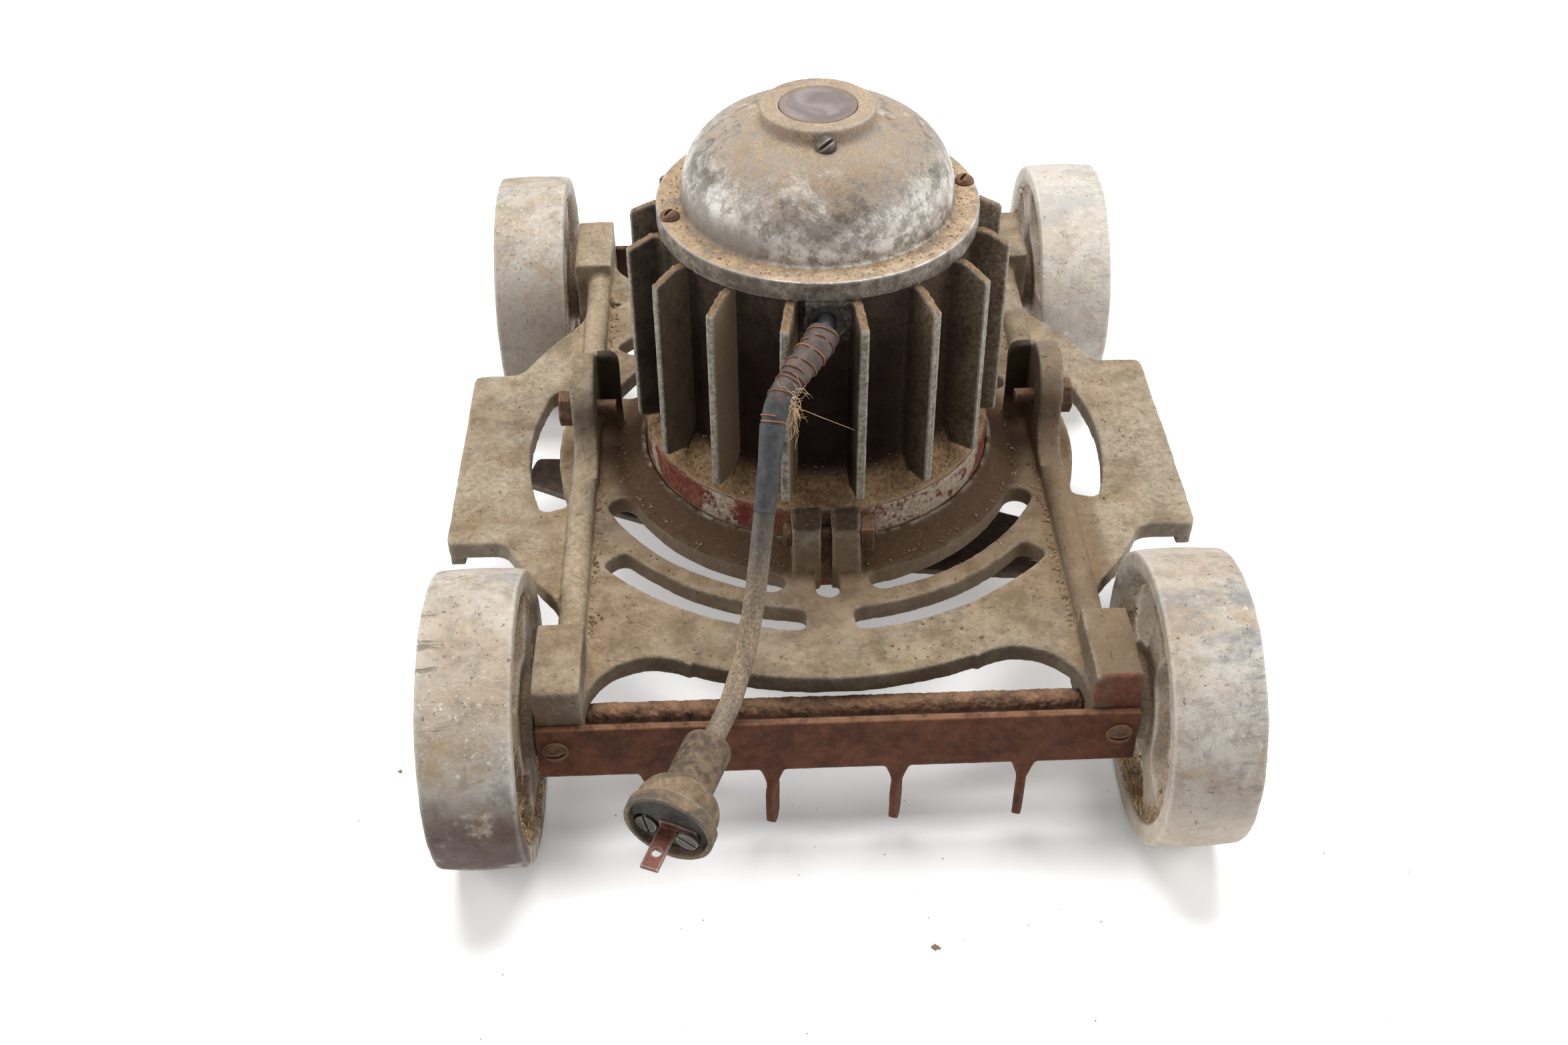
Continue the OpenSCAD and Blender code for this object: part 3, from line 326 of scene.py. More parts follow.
def worn_wheel():
    g = Graph("worn_wheel")
    big, mid, fine = g.noise(20, 6, 0.7, 0.3), g.noise(120, 7, 0.75, 0.3), g.noise(560, 5, 0.75)
    x, y, z = g.axis(0), g.axis(1), g.axis(2)
    colour = g.tones(big, 0.36, 0.64, srgb(180, 174, 165), srgb(160, 145, 125))
    colour = g.paint(colour, g.band(mid, 0.42, 0.66), 0.55, srgb(122, 110, 96))
    # stains, smears and pale and dark specks all round
    tan = g.band(g.noise(46, 6, 0.75, 0.4), 0.52, 0.68)
    colour = g.paint(colour, tan, 0.6, srgb(150, 124, 88))
    smear = g.band(g.noise(34, 5, 0.7, 0.5, g.stretched(0.5, 1.3, 1.3)), 0.56, 0.68)
    colour = g.paint(colour, smear, 0.65, srgb(120, 122, 124))
    pale = g.times(g.band(g.noise(300, 5, 0.8), 0.56, 0.68), g.band(g.noise(28, 3, 0.6), 0.4, 0.62))
    colour = g.paint(colour, pale, 0.7, srgb(216, 212, 204))
    dark = g.band(g.noise(420, 5, 0.8), 0.61, 0.7)
    colour = g.paint(colour, dark, 0.6, srgb(78, 66, 56))
    # blue-grey streaks outside on the right, painted light low on the front right, soil low on the front
    # left
    blue = g.times(g.band(x, *TREAD_RIGHT_X),
                   g.band(g.noise(230, 6, 0.8, 0.2, g.stretched(0.3, 1, 1.5)), 0.5, 0.62))
    colour = g.paint(colour, blue, 0.65, srgb(104, 108, 113))
    right_low = g.times(g.band(x, *PALE_RIGHT_X), g.under(z, *PALE_RIGHT_Z), g.under(y, *FRONT_WHEEL_Y))
    colour = g.paint(colour, right_low, 0.68,
                     g.tones(mid, 0.35, 0.65, srgb(176, 160, 140), srgb(214, 202, 186)))
    left_low = g.times(g.under(x, *LEFT_WHEEL_X), g.under(z, *SOIL_Z), g.under(y, *FRONT_WHEEL_Y))
    spread = g.plus(g.noise(40, 5, 0.7), g.times(g.band(z, *SOIL_FOOT_Z), 0.15))
    soil = g.times(left_low, g.band(spread, 0.46, 0.6))
    colour = g.paint(colour, soil, 0.88, srgb(72, 48, 39))
    # scored outer edge on the front left, darker foot on the rear left, paler rear right
    grooves = g.band(g.noise(150, 4, 0.6, 0.0, g.stretched(0.18, 1.6, 1.6)), 0.58, 0.66)
    outer_left = g.times(grooves, g.under(x, *LEFT_EDGE_X), g.under(y, *FRONT_HALF_Y))
    colour = g.paint(colour, outer_left, 0.6, srgb(74, 66, 60))
    rear = g.band(y, *REAR_WHEEL_Y)
    rear_left = g.times(rear, g.under(x, *LEFT_WHEEL_X), g.under(z, *REAR_LEFT_Z))
    colour = g.paint(colour, rear_left, 0.6, g.tones(mid, 0.35, 0.6, srgb(70, 60, 51), srgb(126, 112, 96)))
    rear_right = g.times(rear, g.band(x, *RIGHT_WHEEL_X))
    colour = g.paint(colour, rear_right, 0.3, srgb(206, 200, 190))
    colour = g.paint(colour, g.corners(0.012, 0.3, 0.75), 0.8, srgb(104, 80, 56))
    # dirt packed inside the rim, bright worn edges
    across = g.calc("SUBTRACT", g.size(y), AXLE_Y, False)
    above = g.calc("SUBTRACT", z, AXLE_Z, False)
    spoke = g.calc("SQRT", g.plus(g.times(across, across), g.times(above, above)), 0.0, False)
    within = g.under(spoke, *RIM_R)
    packed = g.tones(g.noise(900, 4, 0.8), 0.36, 0.64, srgb(72, 54, 38), srgb(158, 132, 98))
    web = g.times(g.plus(0.55, g.times(g.band(spoke, *SPOKE_R), 0.45)), g.band(mid, 0.2, 0.5))
    colour = g.paint(colour, within, web, packed)
    edge = g.times(g.edges(0.0016), g.band(mid, 0.28, 0.5))
    colour = g.paint(colour, edge, 0.9, srgb(232, 229, 222))
    rough = g.ramp(mid, 0.3, 0.7, 0.48, 0.8)
    return g.finish(colour, rough, 0.15,
                    [(mid, 0.0006), (fine, 0.0005), (dark, -0.0004), (outer_left, -0.0005)])


def oily_shaded_fins():
    g = Graph("oily_shaded_fins")
    mid, fine = g.noise(70, 6, 0.68), g.noise(620, 5, 0.75)
    out = g.radius(*MOTOR_AXIS)
    x, y, z = g.axis(0), g.axis(1), g.axis(2)
    # dark oil with painted shade deep down, greyer flanks outward, higher up and to the right
    deep = g.tones(mid, 0.35, 0.65, srgb(27, 15, 12), srgb(43, 28, 23))
    flank = g.tones(fine, 0.32, 0.68, srgb(98, 84, 68), srgb(150, 136, 115))
    deep = g.paint(deep, g.band(x, *DUSTY_FIN_X), 0.7,
                   g.tones(fine, 0.3, 0.7, srgb(54, 41, 31), srgb(84, 68, 52)))
    reach = g.times(g.band(out, *FIN_R), g.plus(0.15, g.times(g.band(x, *GREY_FIN_X), 0.5)))
    # painted light: faces of the left fins that face right are paler
    deep = g.paint(deep, g.band(g.axis(0, g.normal), 0.35, 0.8), g.under(x, *LEFT_FIN_X),
                   srgb(126, 108, 88))
    up_high = g.times(g.band(z, *FIN_TOP_Z), 0.15)
    colour = g.paint(deep, g.plus(reach, up_high), g.band(mid, 0.2, 0.6), flank)
    # bare metal on tips and edges, dust where it can lie, a dark gland boss
    worn = g.tones(fine, 0.35, 0.65, srgb(104, 97, 85), srgb(164, 158, 146))
    tip = g.times(g.band(out, *FIN_TIP_R), g.band(mid, 0.2, 0.5))
    colour = g.paint(colour, tip, 0.85, worn)
    colour = g.paint(colour, g.edges(0.0014), 0.85, srgb(186, 181, 171))
    foot = g.under(z, *FIN_FOOT_Z)
    dust = g.tones(fine, 0.3, 0.7, srgb(104, 80, 58), srgb(154, 126, 94))
    lying = g.most(g.times(g.facing_up(0.3, 0.9), 0.7), g.times(foot, g.facing_up(0.05, 0.35)))
    colour = g.paint(colour, lying, g.band(fine, 0.2, 0.45), dust)
    boss = g.times(g.under(g.size(x), *BOSS_X), g.band(z, *BOSS_Z), g.under(y, *BOSS_Y))
    colour = g.paint(colour, boss, 0.8, g.tones(fine, 0.4, 0.62, srgb(44, 42, 40), srgb(104, 98, 90)))
    return g.finish(colour, 0.65, 0.1, [(mid, 0.0006), (fine, 0.0007)], 0.12)


def rubbed_dome():
    g = Graph("rubbed_dome")
    big, mid, fine = g.noise(26, 6, 0.65, 0.2), g.noise(150, 7, 0.78), g.noise(1000, 4, 0.75)
    bright = g.tones(mid, 0.4, 0.6, srgb(132, 127, 119), srgb(206, 203, 198))
    x, y, z = g.axis(0), g.axis(1), g.axis(2)
    # stains: speckled at the sides, closed over the crown
    crown, upper = g.band(z, *CROWN_Z), g.band(z, *UPPER_DOME_Z)
    stain = g.tones(fine, 0.35, 0.65, srgb(74, 59, 43), srgb(132, 113, 88))
    stain = g.paint(stain, crown, 0.8, g.tones(fine, 0.3, 0.7, srgb(122, 98, 72), srgb(166, 142, 114)))
    speckle = g.band(g.plus(mid, g.times(fine, 0.5)), 0.68, 0.86)
    patchy = g.times(g.band(g.plus(big, g.times(upper, 0.16)), 0.46, 0.7), speckle)
    patchy = g.times(patchy, g.plus(0.35, g.times(upper, 0.65)))
    cover = g.plus(patchy, g.times(crown, g.band(g.plus(mid, g.times(big, 0.3)), 0.48, 0.72)))
    cover = g.plus(cover, g.times(g.band(z, *SPECKLED_Z), g.times(g.band(fine, 0.4, 0.6), 0.2)))
    # brown blotches with a painted dark reflection in the middle of the front, grey patches and a dull
    # lower left
    middle = g.times(g.under(g.size(x), *MIDDLE_X), g.under(y, *MIDDLE_Y), g.band(z, *MIDDLE_Z))
    blotch_and_dark_reflection = g.band(g.plus(g.times(g.noise(46, 6, 0.72, 0.4), 0.7), g.times(mid, 0.3)), 0.45, 0.54)
    bright = g.paint(bright, g.times(middle, blotch_and_dark_reflection), 0.9,
                     g.tones(mid, 0.42, 0.58, srgb(62, 48, 35), srgb(112, 94, 72)))
    grey = g.times(g.band(g.noise(30, 5, 0.7, 0.3), 0.5, 0.66), 0.6)
    low_left = g.times(g.under(x, *LEFT_DOME_X), g.under(z, *LOWER_DOME_Z), g.band(mid, 0.3, 0.6))
    grey = g.most(grey, low_left)
    dull = g.times(g.most(g.times(middle, blotch_and_dark_reflection), low_left), 0.75)
    bright = g.mix(grey, bright, g.tones(mid, 0.42, 0.58, srgb(88, 76, 63), srgb(126, 118, 108)))
    colour = g.paint(bright, cover, 0.85, stain)
    chalk = g.times(g.band(g.noise(60, 4, 0.6), 0.6, 0.68), g.band(mid, 0.45, 0.55))
    colour = g.paint(colour, chalk, 0.28, srgb(222, 220, 214))
    # dust settled on the flange and in its corner, a darker rim, bright edges
    flat = g.times(g.facing_up(0.8, 0.97), g.under(z, *DOME_FOOT_Z))
    mottle = g.plus(g.times(fine, 0.4), g.times(mid, 0.6))
    dusty = g.tones(mottle, 0.36, 0.64, srgb(114, 90, 63), srgb(170, 145, 113))
    settle = g.times(flat, g.times(g.band(mid, 0.3, 0.5), 0.85))
    settle = g.plus(settle, g.times(g.corners(0.007, 0.2, 0.6), 0.95))
    colour = g.mix(settle, colour, dusty)
    rim = g.times(g.under(z, *FLANGE_LOW_Z), g.inverse(g.facing_up(0.3, 0.7)))
    rim_tone = g.tones(g.noise(190, 6, 0.75), 0.42, 0.66, srgb(64, 53, 41), srgb(128, 116, 101))
    colour = g.paint(colour, rim, 0.85, rim_tone)
    colour = g.paint(colour, g.edges(0.0012), 0.6, srgb(206, 204, 200))
    metal = g.times(g.inverse(g.most(settle, g.times(cover, 0.8))), 0.8, g.inverse(dull))
    matt = g.most(g.most(settle, cover), g.times(low_left, 0.7))
    rough = g.ramp(matt, 0.0, 1.0, 0.34, 0.9)
    return g.finish(colour, rough, metal, [(mid, 0.0003), (fine, 0.0003), (g.noise(420, 4, 0.75), 0.0004)])


def old_red_paint():
    g = Graph("old_red_paint")
    big, mid, fine = g.noise(34, 6, 0.7, 0.3), g.noise(170, 7, 0.78), g.noise(620, 4, 0.75)
    x = g.axis(0)
    paint = g.tones(mid, 0.3, 0.7, srgb(84, 32, 27), srgb(116, 52, 42))
    # flaked to bare metal on the right and, less, on the left
    right = g.times(g.band(x, *FLAKED_RIGHT_X), g.under(x, *PAINT_RIGHT_X))
    left = g.times(g.band(x, *PAINT_LEFT_X), g.under(x, *FLAKED_LEFT_X))
    where = g.plus(right, g.times(left, 0.45))
    flake = g.times(g.band(g.plus(big, g.times(where, 0.16)), 0.56, 0.62), g.band(mid, 0.4, 0.5))
    colour = g.paint(paint, flake, 0.9, g.tones(fine, 0.3, 0.7, srgb(150, 136, 118), srgb(196, 188, 174)))
    dusty = g.plus(g.times(g.facing_up(0.3, 0.9), 0.95), g.times(g.corners(0.012, 0.15, 0.6), 0.85))
    dusty = g.most(g.times(dusty, g.band(fine, 0.2, 0.45)), g.times(g.band(mid, 0.4, 0.62), 0.5))
    colour = g.mix(dusty, colour, g.tones(fine, 0.3, 0.7, srgb(92, 68, 50), srgb(142, 116, 88)))
    return g.finish(colour, 0.78, 0.0, [(flake, -0.0003), (mid, 0.0005), (fine, 0.0006)], 0.25)


def rust(name, dark, light, flaky):
    g = Graph(name)
    big, mid, fine = g.noise(24, 6, 0.65), g.noise(160, 6, 0.72), g.noise(700, 4, 0.7)
    colour = g.tones(mid, 0.3, 0.7, dark, light)
    colour = g.paint(colour, g.band(big, 0.52, 0.7), 0.35, srgb(112, 72, 50))
    colour = g.paint(colour, g.band(g.noise(90, 5, 0.7), 0.6, 0.7), 0.5, srgb(50, 33, 27))
    settle = g.times(g.facing_up(0.4, 0.95), g.band(mid, 0.3, 0.6))
    colour = g.paint(colour, settle, 0.34, srgb(140, 112, 84))
    colour = g.paint(colour, g.edges(0.0012), 0.45, srgb(150, 108, 82))
    colour = g.paint(colour, g.corners(0.0025, 0.2, 0.6), 0.8, srgb(30, 22, 18))
    return g.finish(colour, 0.72, 0.1,
                    [(mid, 0.0006 * flaky), (fine, 0.0004 * flaky), (g.cells(260), 0.0005 * flaky)], 0.2)


def plain_metal(name, low, high, rough=0.5, metal=0.7):
    g = Graph(name)
    mid, fine = g.noise(140, 6, 0.7), g.noise(900, 4, 0.7)
    colour = g.tones(mid, 0.3, 0.7, low, high)
    colour = g.paint(colour, g.corners(0.004, 0.3, 0.8), 0.7, srgb(66, 52, 42))
    colour = g.paint(colour, g.edges(0.0008), 0.5, srgb(190, 182, 170))
    return g.finish(colour, rough, metal, [(mid, 0.0003), (fine, 0.0002)])


def old_rubber():
    g = Graph("old_rubber")
    mid, fine = g.noise(120, 6, 0.7), g.noise(900, 4, 0.7)
    colour = g.tones(mid, 0.35, 0.65, srgb(27, 27, 28), srgb(48, 48, 50))
    low = g.under(g.axis(2), *DUSTY_CORD_Z)
    streak = g.band(g.noise(60, 5, 0.7, 0.8, g.stretched(1, 0.4, 0.4)), 0.32, 0.6)
    dusty = g.times(low, g.plus(0.35, g.times(streak, 0.65)))
    colour = g.mix(dusty, colour, g.tones(fine, 0.35, 0.65, srgb(112, 94, 74), srgb(158, 138, 112)))
    colour = g.paint(colour, g.band(g.noise(200, 4, 0.7), 0.66, 0.72), 0.6, srgb(36, 34, 34))
    return g.finish(colour, g.ramp(dusty, 0.0, 1.0, 0.42, 0.85), 0.0, [(mid, 0.0002), (fine, 0.0001)])


def dusty_rubber():
    g = Graph("dusty_rubber")
    big, mid, fine = g.noise(60, 6, 0.68, 0.5), g.noise(260, 6, 0.75), g.noise(1300, 4, 0.75)
    colour = g.tones(mid, 0.3, 0.7, srgb(88, 73, 57), srgb(132, 112, 89))
    colour = g.paint(colour, g.band(big, 0.5, 0.62), 0.75, srgb(72, 66, 60))
    colour = g.paint(colour, g.band(g.noise(110, 6, 0.75), 0.58, 0.68), 0.5, srgb(172, 156, 132))
    back = g.band(g.axis(1), *PLUG_NECK_Y)
    colour = g.paint(colour, back, 0.8, g.tones(mid, 0.4, 0.6, srgb(64, 54, 46), srgb(104, 88, 72)))
    colour = g.paint(colour, g.edges(0.001), 0.4, srgb(150, 144, 134))
    return g.finish(colour, 0.75, 0.0, [(mid, 0.0004), (fine, 0.0003)], 0.25)


def dark_fibre():
    g = Graph("dark_fibre")
    mid, fine = g.noise(200, 6, 0.7), g.noise(900, 4, 0.7)
    colour = g.tones(mid, 0.3, 0.7, srgb(34, 33, 32), srgb(70, 64, 56))
    return g.finish(colour, 0.7, 0.0, [(mid, 0.0003), (fine, 0.0003)])


def wound_tape():
    g = Graph("wound_tape")
    mid, fine = g.noise(260, 6, 0.7), g.noise(1400, 4, 0.7)
    cloth = g.tones(mid, 0.3, 0.7, srgb(46, 37, 33), srgb(80, 66, 58))
    cloth = g.paint(cloth, g.band(g.noise(150, 5, 0.7), 0.56, 0.66), 0.5, srgb(112, 74, 50))
    smooth = g.tones(mid, 0.35, 0.65, srgb(32, 32, 34), srgb(58, 58, 61))
    colour = g.tones(g.axis(2), *SLEEVE_TO_TAPE_Z, smooth, cloth)
    return g.finish(colour, 0.62, 0.0, [(mid, 0.0003), (fine, 0.0002)])


def dull_glass():
    g = Graph("dull_glass")
    mid, fine = g.noise(60, 6, 0.6, 1.0), g.noise(700, 4, 0.7)
    colour = g.tones(mid, 0.35, 0.65, srgb(104, 95, 93), srgb(128, 120, 119))
    colour = g.paint(colour, g.band(g.radius(*MOTOR_AXIS), *GLASS_RIM_R), 0.6, srgb(122, 100, 78))
    return g.finish(colour, 0.25, 0.0, [(fine, 0.00005)])


def strand_tone(name, dark, light):
    g = Graph(name)
    colour = g.tones(g.noise(120, 4, 0.6), 0.3, 0.7, dark, light)
    return g.finish(colour, 0.85, 0.0, [(g.noise(900, 3, 0.6), 0.0003)])


def pale_floor():
    """White all round; painted shade makes it a little greyer close in front, and its painted glow,
    strongest far out and raised under the deck, lights the mower from below so that shadows stay soft.
    """
    g = Graph("pale_floor")
    out = g.radius(0, 0)
    dip = g.times(g.under(out, *DIP_R), g.under(g.axis(1), *DIP_Y))
    tone = g.mix(dip, srgb(243, 243, 243), srgb(123, 123, 123))
    below = g.times(g.under(out, *UNDER_DECK_R), 0.16)
    glow = g.plus(g.plus(below, 0.1), g.times(g.band(out, *OPEN_FLOOR_R), 0.6))
    return g.finish(tone, 0.7, 0.0, **{"Emission Color": WHITE, "Emission Strength": glow})


MATS = {
    "deck": cast_deck(), "wheel": worn_wheel(), "fins": oily_shaded_fins(), "dome": rubbed_dome(),
    "red": old_red_paint(), "cord": old_rubber(), "plug": dusty_rubber(), "carbon": dark_fibre(),
    "tape": wound_tape(), "glass": dull_glass(),
    "bar_rust": rust("bar_rust", srgb(62, 35, 24), srgb(100, 60, 40), 0.5),
    "rod_rust": rust("rod_rust", srgb(74, 54, 43), srgb(134, 100, 76), 1.6),
    "rear_rust": rust("rear_rust", srgb(44, 28, 21), srgb(74, 51, 38), 0.5),
    "bolt_rust": rust("bolt_rust", srgb(60, 44, 35), srgb(98, 72, 56), 0.8),
    "steel": plain_metal("dull_steel", srgb(84, 76, 68), srgb(128, 120, 110)),
    "dark_steel": plain_metal("dark_steel", srgb(50, 44, 40), srgb(94, 86, 79), 0.5, 0.5),
    "blade": plain_metal("brown_blade", srgb(58, 46, 40), srgb(98, 82, 70), 0.6, 0.4),
    "copper": plain_metal("tarnished_copper", srgb(70, 40, 32), srgb(116, 68, 50), 0.55, 0.5),
    "bronze": plain_metal("bearing_bronze", srgb(130, 104, 62), srgb(170, 140, 88), 0.45, 0.8),
    "alloy": plain_metal("inner_alloy", srgb(120, 114, 104), srgb(158, 152, 142), 0.5, 0.6),
    "thread": strand_tone("rust_thread", srgb(84, 52, 36), srgb(140, 92, 60)),
    "fray": strand_tone("pale_fray", srgb(176, 136, 98), srgb(222, 196, 160)),
    "grass": strand_tone("dry_grass", srgb(112, 84, 54), srgb(188, 158, 116)),
    "crumb": strand_tone("crumb", srgb(96, 74, 54), srgb(164, 138, 106)),
    "floor": pale_floor(),
}

NODE_MATS = {
    "deck": ["deck_casting"],
    "wheel": ["wheel_front_left", "wheel_front_right", "wheel_rear_left", "wheel_rear_right"],
    "fins": ["motor_housing"], "dome": ["dome_cover"], "red": ["base_ring"],
    "bar_rust": ["comb_bar"], "rear_rust": ["rear_bar"], "rod_rust": ["front_axle", "rear_axle"],
    "bolt_rust": ["comb_screws", "rear_screws", "axle_washers", "cotter_pins", "handle_bolts", "clamp_bolt",
                  "clamp_nut", "cover_screws", "blade_nut"],
    "steel": ["base_screws", "stator_core", "shaft", "armature_core", "cutter_hub"],
    "dark_steel": ["dome_screw", "plug_screws"],
    "blade": ["cutter_blade"], "copper": ["field_coils", "plug_blade", "armature_windings", "commutator"],
    "bronze": ["lower_bush", "upper_bush", "brush_caps"], "alloy": ["lower_bracket", "upper_bracket"],
    "carbon": ["brush_holders", "brushes", "window_gasket", "gland_bush", "plug_face"],
    "cord": ["cord"], "tape": ["cord_tape"], "plug": ["plug_body"], "glass": ["sight_glass"],
}
for key, names in NODE_MATS.items():
    for name in names:
        nodes[name].data.materials.clear()
        nodes[name].data.materials.append(MATS[key])

# ---------- cast and worn surfaces ----------


def cloud(name, size, depth=2):
    tex = bpy.data.textures.new(name, "CLOUDS")
    tex.noise_scale = size
    tex.noise_depth = depth
    return tex


CLOUDS = {"wave": cloud("wave", 0.022), "lump": cloud("lump", 0.0055, 3), "grit": cloud("grit", 0.0018, 3)}


def soften(name, voxel, turns, bumps):
    """Rounds a node's edges and roughens it, as casting, wear and rust do; voxel and bumps in mm."""
    obj = nodes[name]
    mesher = obj.modifiers.new("mesher", "REMESH")
    mesher.mode = "VOXEL"
    mesher.voxel_size = voxel * MM
    mesher.use_smooth_shade = True
    ease = obj.modifiers.new("ease", "SMOOTH")
    ease.factor = 0.5
    ease.iterations = turns
    for key, depth in bumps.items():
        push = obj.modifiers.new(key, "DISPLACE")
        push.texture = CLOUDS[key]
        push.texture_coords = "LOCAL"
        push.strength = depth * MM
        push.mid_level = 0.5


soften("deck_casting", 0.9, 4, {"wave": 0.7, "lump": 0.35})
soften("motor_housing", 0.8, 3, {"lump": 0.3})
soften("dome_cover", 0.7, 3, {"lump": 0.15})
soften("base_ring", 0.8, 2, {"lump": 0.3})
for corner in ("front_left", "front_right", "rear_left", "rear_right"):
    soften("wheel_" + corner, 0.8, 4, {"wave": 0.5, "lump": 0.25})
soften("comb_bar", 0.5, 4, {"lump": 0.25})
soften("rear_bar", 0.6, 3, {"lump": 0.25})
for end in ("front_axle", "rear_axle"):
    soften(end, 0.45, 2, {"lump": 0.5, "grit": 0.7})
soften("handle_bolts", 0.35, 2, {"grit": 0.3})
soften("clamp_nut", 0.3, 2, {"grit": 0.3})
soften("clamp_bolt", 0.3, 2, {"grit": 0.25})
soften("comb_screws", 0.25, 2, {"grit": 0.2})
soften("cover_screws", 0.25, 2, {"grit": 0.2})
soften("dome_screw", 0.22, 1, {"grit": 0.15})
soften("cutter_blade", 0.6, 2, {"lump": 0.2})
soften("plug_body", 0.4, 2, {"lump": 0.2})
soften("plug_face", 0.35, 1, {"grit": 0.15})
soften("plug_blade", 0.22, 1, {"grit": 0.12})
soften("plug_screws", 0.22, 1, {"grit": 0.1})

# ---------- mesh helpers ----------


def mesh_piece(name, verts, faces, key, body, slot, smooth=True):
    """A piece in the material of that key, riding on its body; stage pieces have no body."""
    data = bpy.data.meshes.new(name)
    data.from_pydata([tuple(v) for v in verts], [], faces)
    data.validate()
    data.polygons.foreach_set("use_smooth", [smooth] * len(data.polygons))
    data.materials.append(MATS[key])
    obj = bpy.data.objects.new(name, data)
    scene.collection.objects.link(obj)
    if body:
        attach(obj, body)
    return obj


def smooth_path(points, steps):
    """A Catmull-Rom curve through the points, with so many steps from each to the next."""
    out = []
    last = len(points) - 1
    for i in range(last):
        a, b = points[max(i - 1, 0)], points[i]
        c, d = points[i + 1], points[min(i + 2, last)]
        for k in range(steps):
            t = k / steps
            bend, twist = 2 * a - 5 * b + 4 * c - d, 3 * b - a - 3 * c + d
            out.append(0.5 * (2 * b + (c - a) * t + bend * t * t + twist * t ** 3))
    out.append(points[last].copy())
    return out


def frames_along(path):
    """A steady pair of cross directions at each point of a path."""
    out = []
    side = Vector((1, 0, 0))
    for i, p in enumerate(path):
        along = (path[min(i + 1, len(path) - 1)] - path[max(i - 1, 0)]).normalized()
        side = (side - along * side.dot(along)).normalized()
        out.append((along, side, along.cross(side)))
    return out


def tube(path, radius_at, sides, frames=None):
    """Vertices and faces of a closed tube; radius_at(i, angle) gives its radius."""
    frames = frames or frames_along(path)
    verts, faces = [], []
    for i, p in enumerate(path):
        _, u, v = frames[i]
        for k in range(sides):
            a = TURN * k / sides
            r = radius_at(i, a)
            verts.append(p + u * (r * math.cos(a)) + v * (r * math.sin(a)))
    for i in range(len(path) - 1):
        for k in range(sides):
            n = (k + 1) % sides
            faces.append((i * sides + k, i * sides + n, (i + 1) * sides + n, (i + 1) * sides + k))
    faces.append(tuple(range(sides - 1, -1, -1)))
    faces.append(tuple((len(path) - 1) * sides + k for k in range(sides)))
    return verts, faces


def join(parts):
    """One mesh from many."""
    verts, faces = [], []
    for v, f in parts:
        base = len(verts)
        verts += v
        faces += [tuple(base + i for i in face) for face in f]
    return verts, faces


# ---------- cord, tape and loose threads ----------

ROUTE = [Vector(p) * MM for p in (
    (0, -61, 168), (-1, -67.5, 167.5), (-4, -74, 165.5), (-9, -81, 163), (-14, -88, 160.5), (-18, -94, 157),
    (-20, -98.5, 152), (-21, -102.5, 146), (-22, -107, 138), (-23.5, -113, 128), (-25, -119, 118),
    (-26.5, -124.5, 109), (-28, -130, 100), (-30, -136, 91), (-32, -142, 83.5), (-35, -149, 77.5),
    (-38, -157, 73.5), (-41.7, -164.7, 71.2), (-44.8, -170.9, 70.1), (-47.3, -176.8, 69.5))]
CORD_R = 3.8 * MM
WRAP_STEPS, WRAP_FIRST, WRAP_LAST = 24, 30, 224
TAPE_END, SLEEVE_END = 64, 118             # points of wrap_path where the tape and the full sleeve end
TURN_POINTS = 17                           # points of wrap_path that one turn of tape covers
TAPE_R, THIN_R, END_R = 5.65, 4.254, 3.9   # mm: at the start, where the sleeve thins, at the end
cord_path = smooth_path(ROUTE, 6)
cord_frames = frames_along(cord_path)


def cord_radius(i, a):
    return CORD_R + 0.12 * MM * noise.noise(Vector((i * 0.11, math.cos(a), math.sin(a))))


cord_shape = tube(cord_path, cord_radius, 24, cord_frames)
cord = mesh_piece("mains_cord", *cord_shape, "cord", "motor", "cord_rubber")

wrap_path = smooth_path(ROUTE, WRAP_STEPS)[WRAP_FIRST:WRAP_LAST]
wrap_frames = frames_along(wrap_path)


def wrap_radius(i, a):
    """Overlapping turns of tape, then a smooth sleeve that thins until it meets the cord."""
    phase = (i / TURN_POINTS + a / TURN) % 1.0
    lap = 0.5 * (1 - phase) * max(0.0, min(1.0, (TAPE_END - i) / 8))
    base = TAPE_R - 0.014 * min(i, TAPE_END)
    past_tape, past_sleeve = i - TAPE_END, i - SLEEVE_END
    if past_tape > 0:
        base -= 0.5 * min(1.0, past_tape / (SLEEVE_END - TAPE_END))
    if past_sleeve > 0:
        thinned = (THIN_R - END_R) * min(1.0, past_sleeve / 70)
        base = THIN_R - thinned + 0.35 * max(0.0, 1 - past_sleeve / 40)
    wobble = 0.22 * noise.noise(Vector((i * 0.08, 1.7 * math.cos(a), 1.7 * math.sin(a))))
    return (base + lap + wobble * max(0.15, min(1.0, (130 - i) / 60))) * MM


wrap_shape = tube(wrap_path, wrap_radius, 40, wrap_frames)
wrap = mesh_piece("cord_wrap", *wrap_shape, "tape", "motor", "tape")


def wound_thread(first, last, turns, start, thick, rng):
    """A thread wound round the tape, from one point of wrap_path to another."""
    pts = []
    count = int(30 * abs(turns)) + 8
    for k in range(count + 1):
        t = k / count
        x = first + (last - first) * t
        i = min(int(x), len(wrap_path) - 2)
        p = wrap_path[i].lerp(wrap_path[i + 1], x - i)
        _, u, v = wrap_frames[i]
        a = start + turns * TURN * t + 0.15 * math.sin(9 * t)
        r = wrap_radius(i, a % TURN) + thick * 0.8 * MM + rng.uniform(0, 0.06) * MM
        pts.append(p + u * (r * math.cos(a)) + v * (r * math.sin(a)))

    def uneven(i, a):
        return thick * MM * (1 + 0.25 * noise.noise(Vector((i * 0.7, a, first))))

    return tube(pts, uneven, 6)


SAG = 0.15   # how much more a loose fibre bends down than up


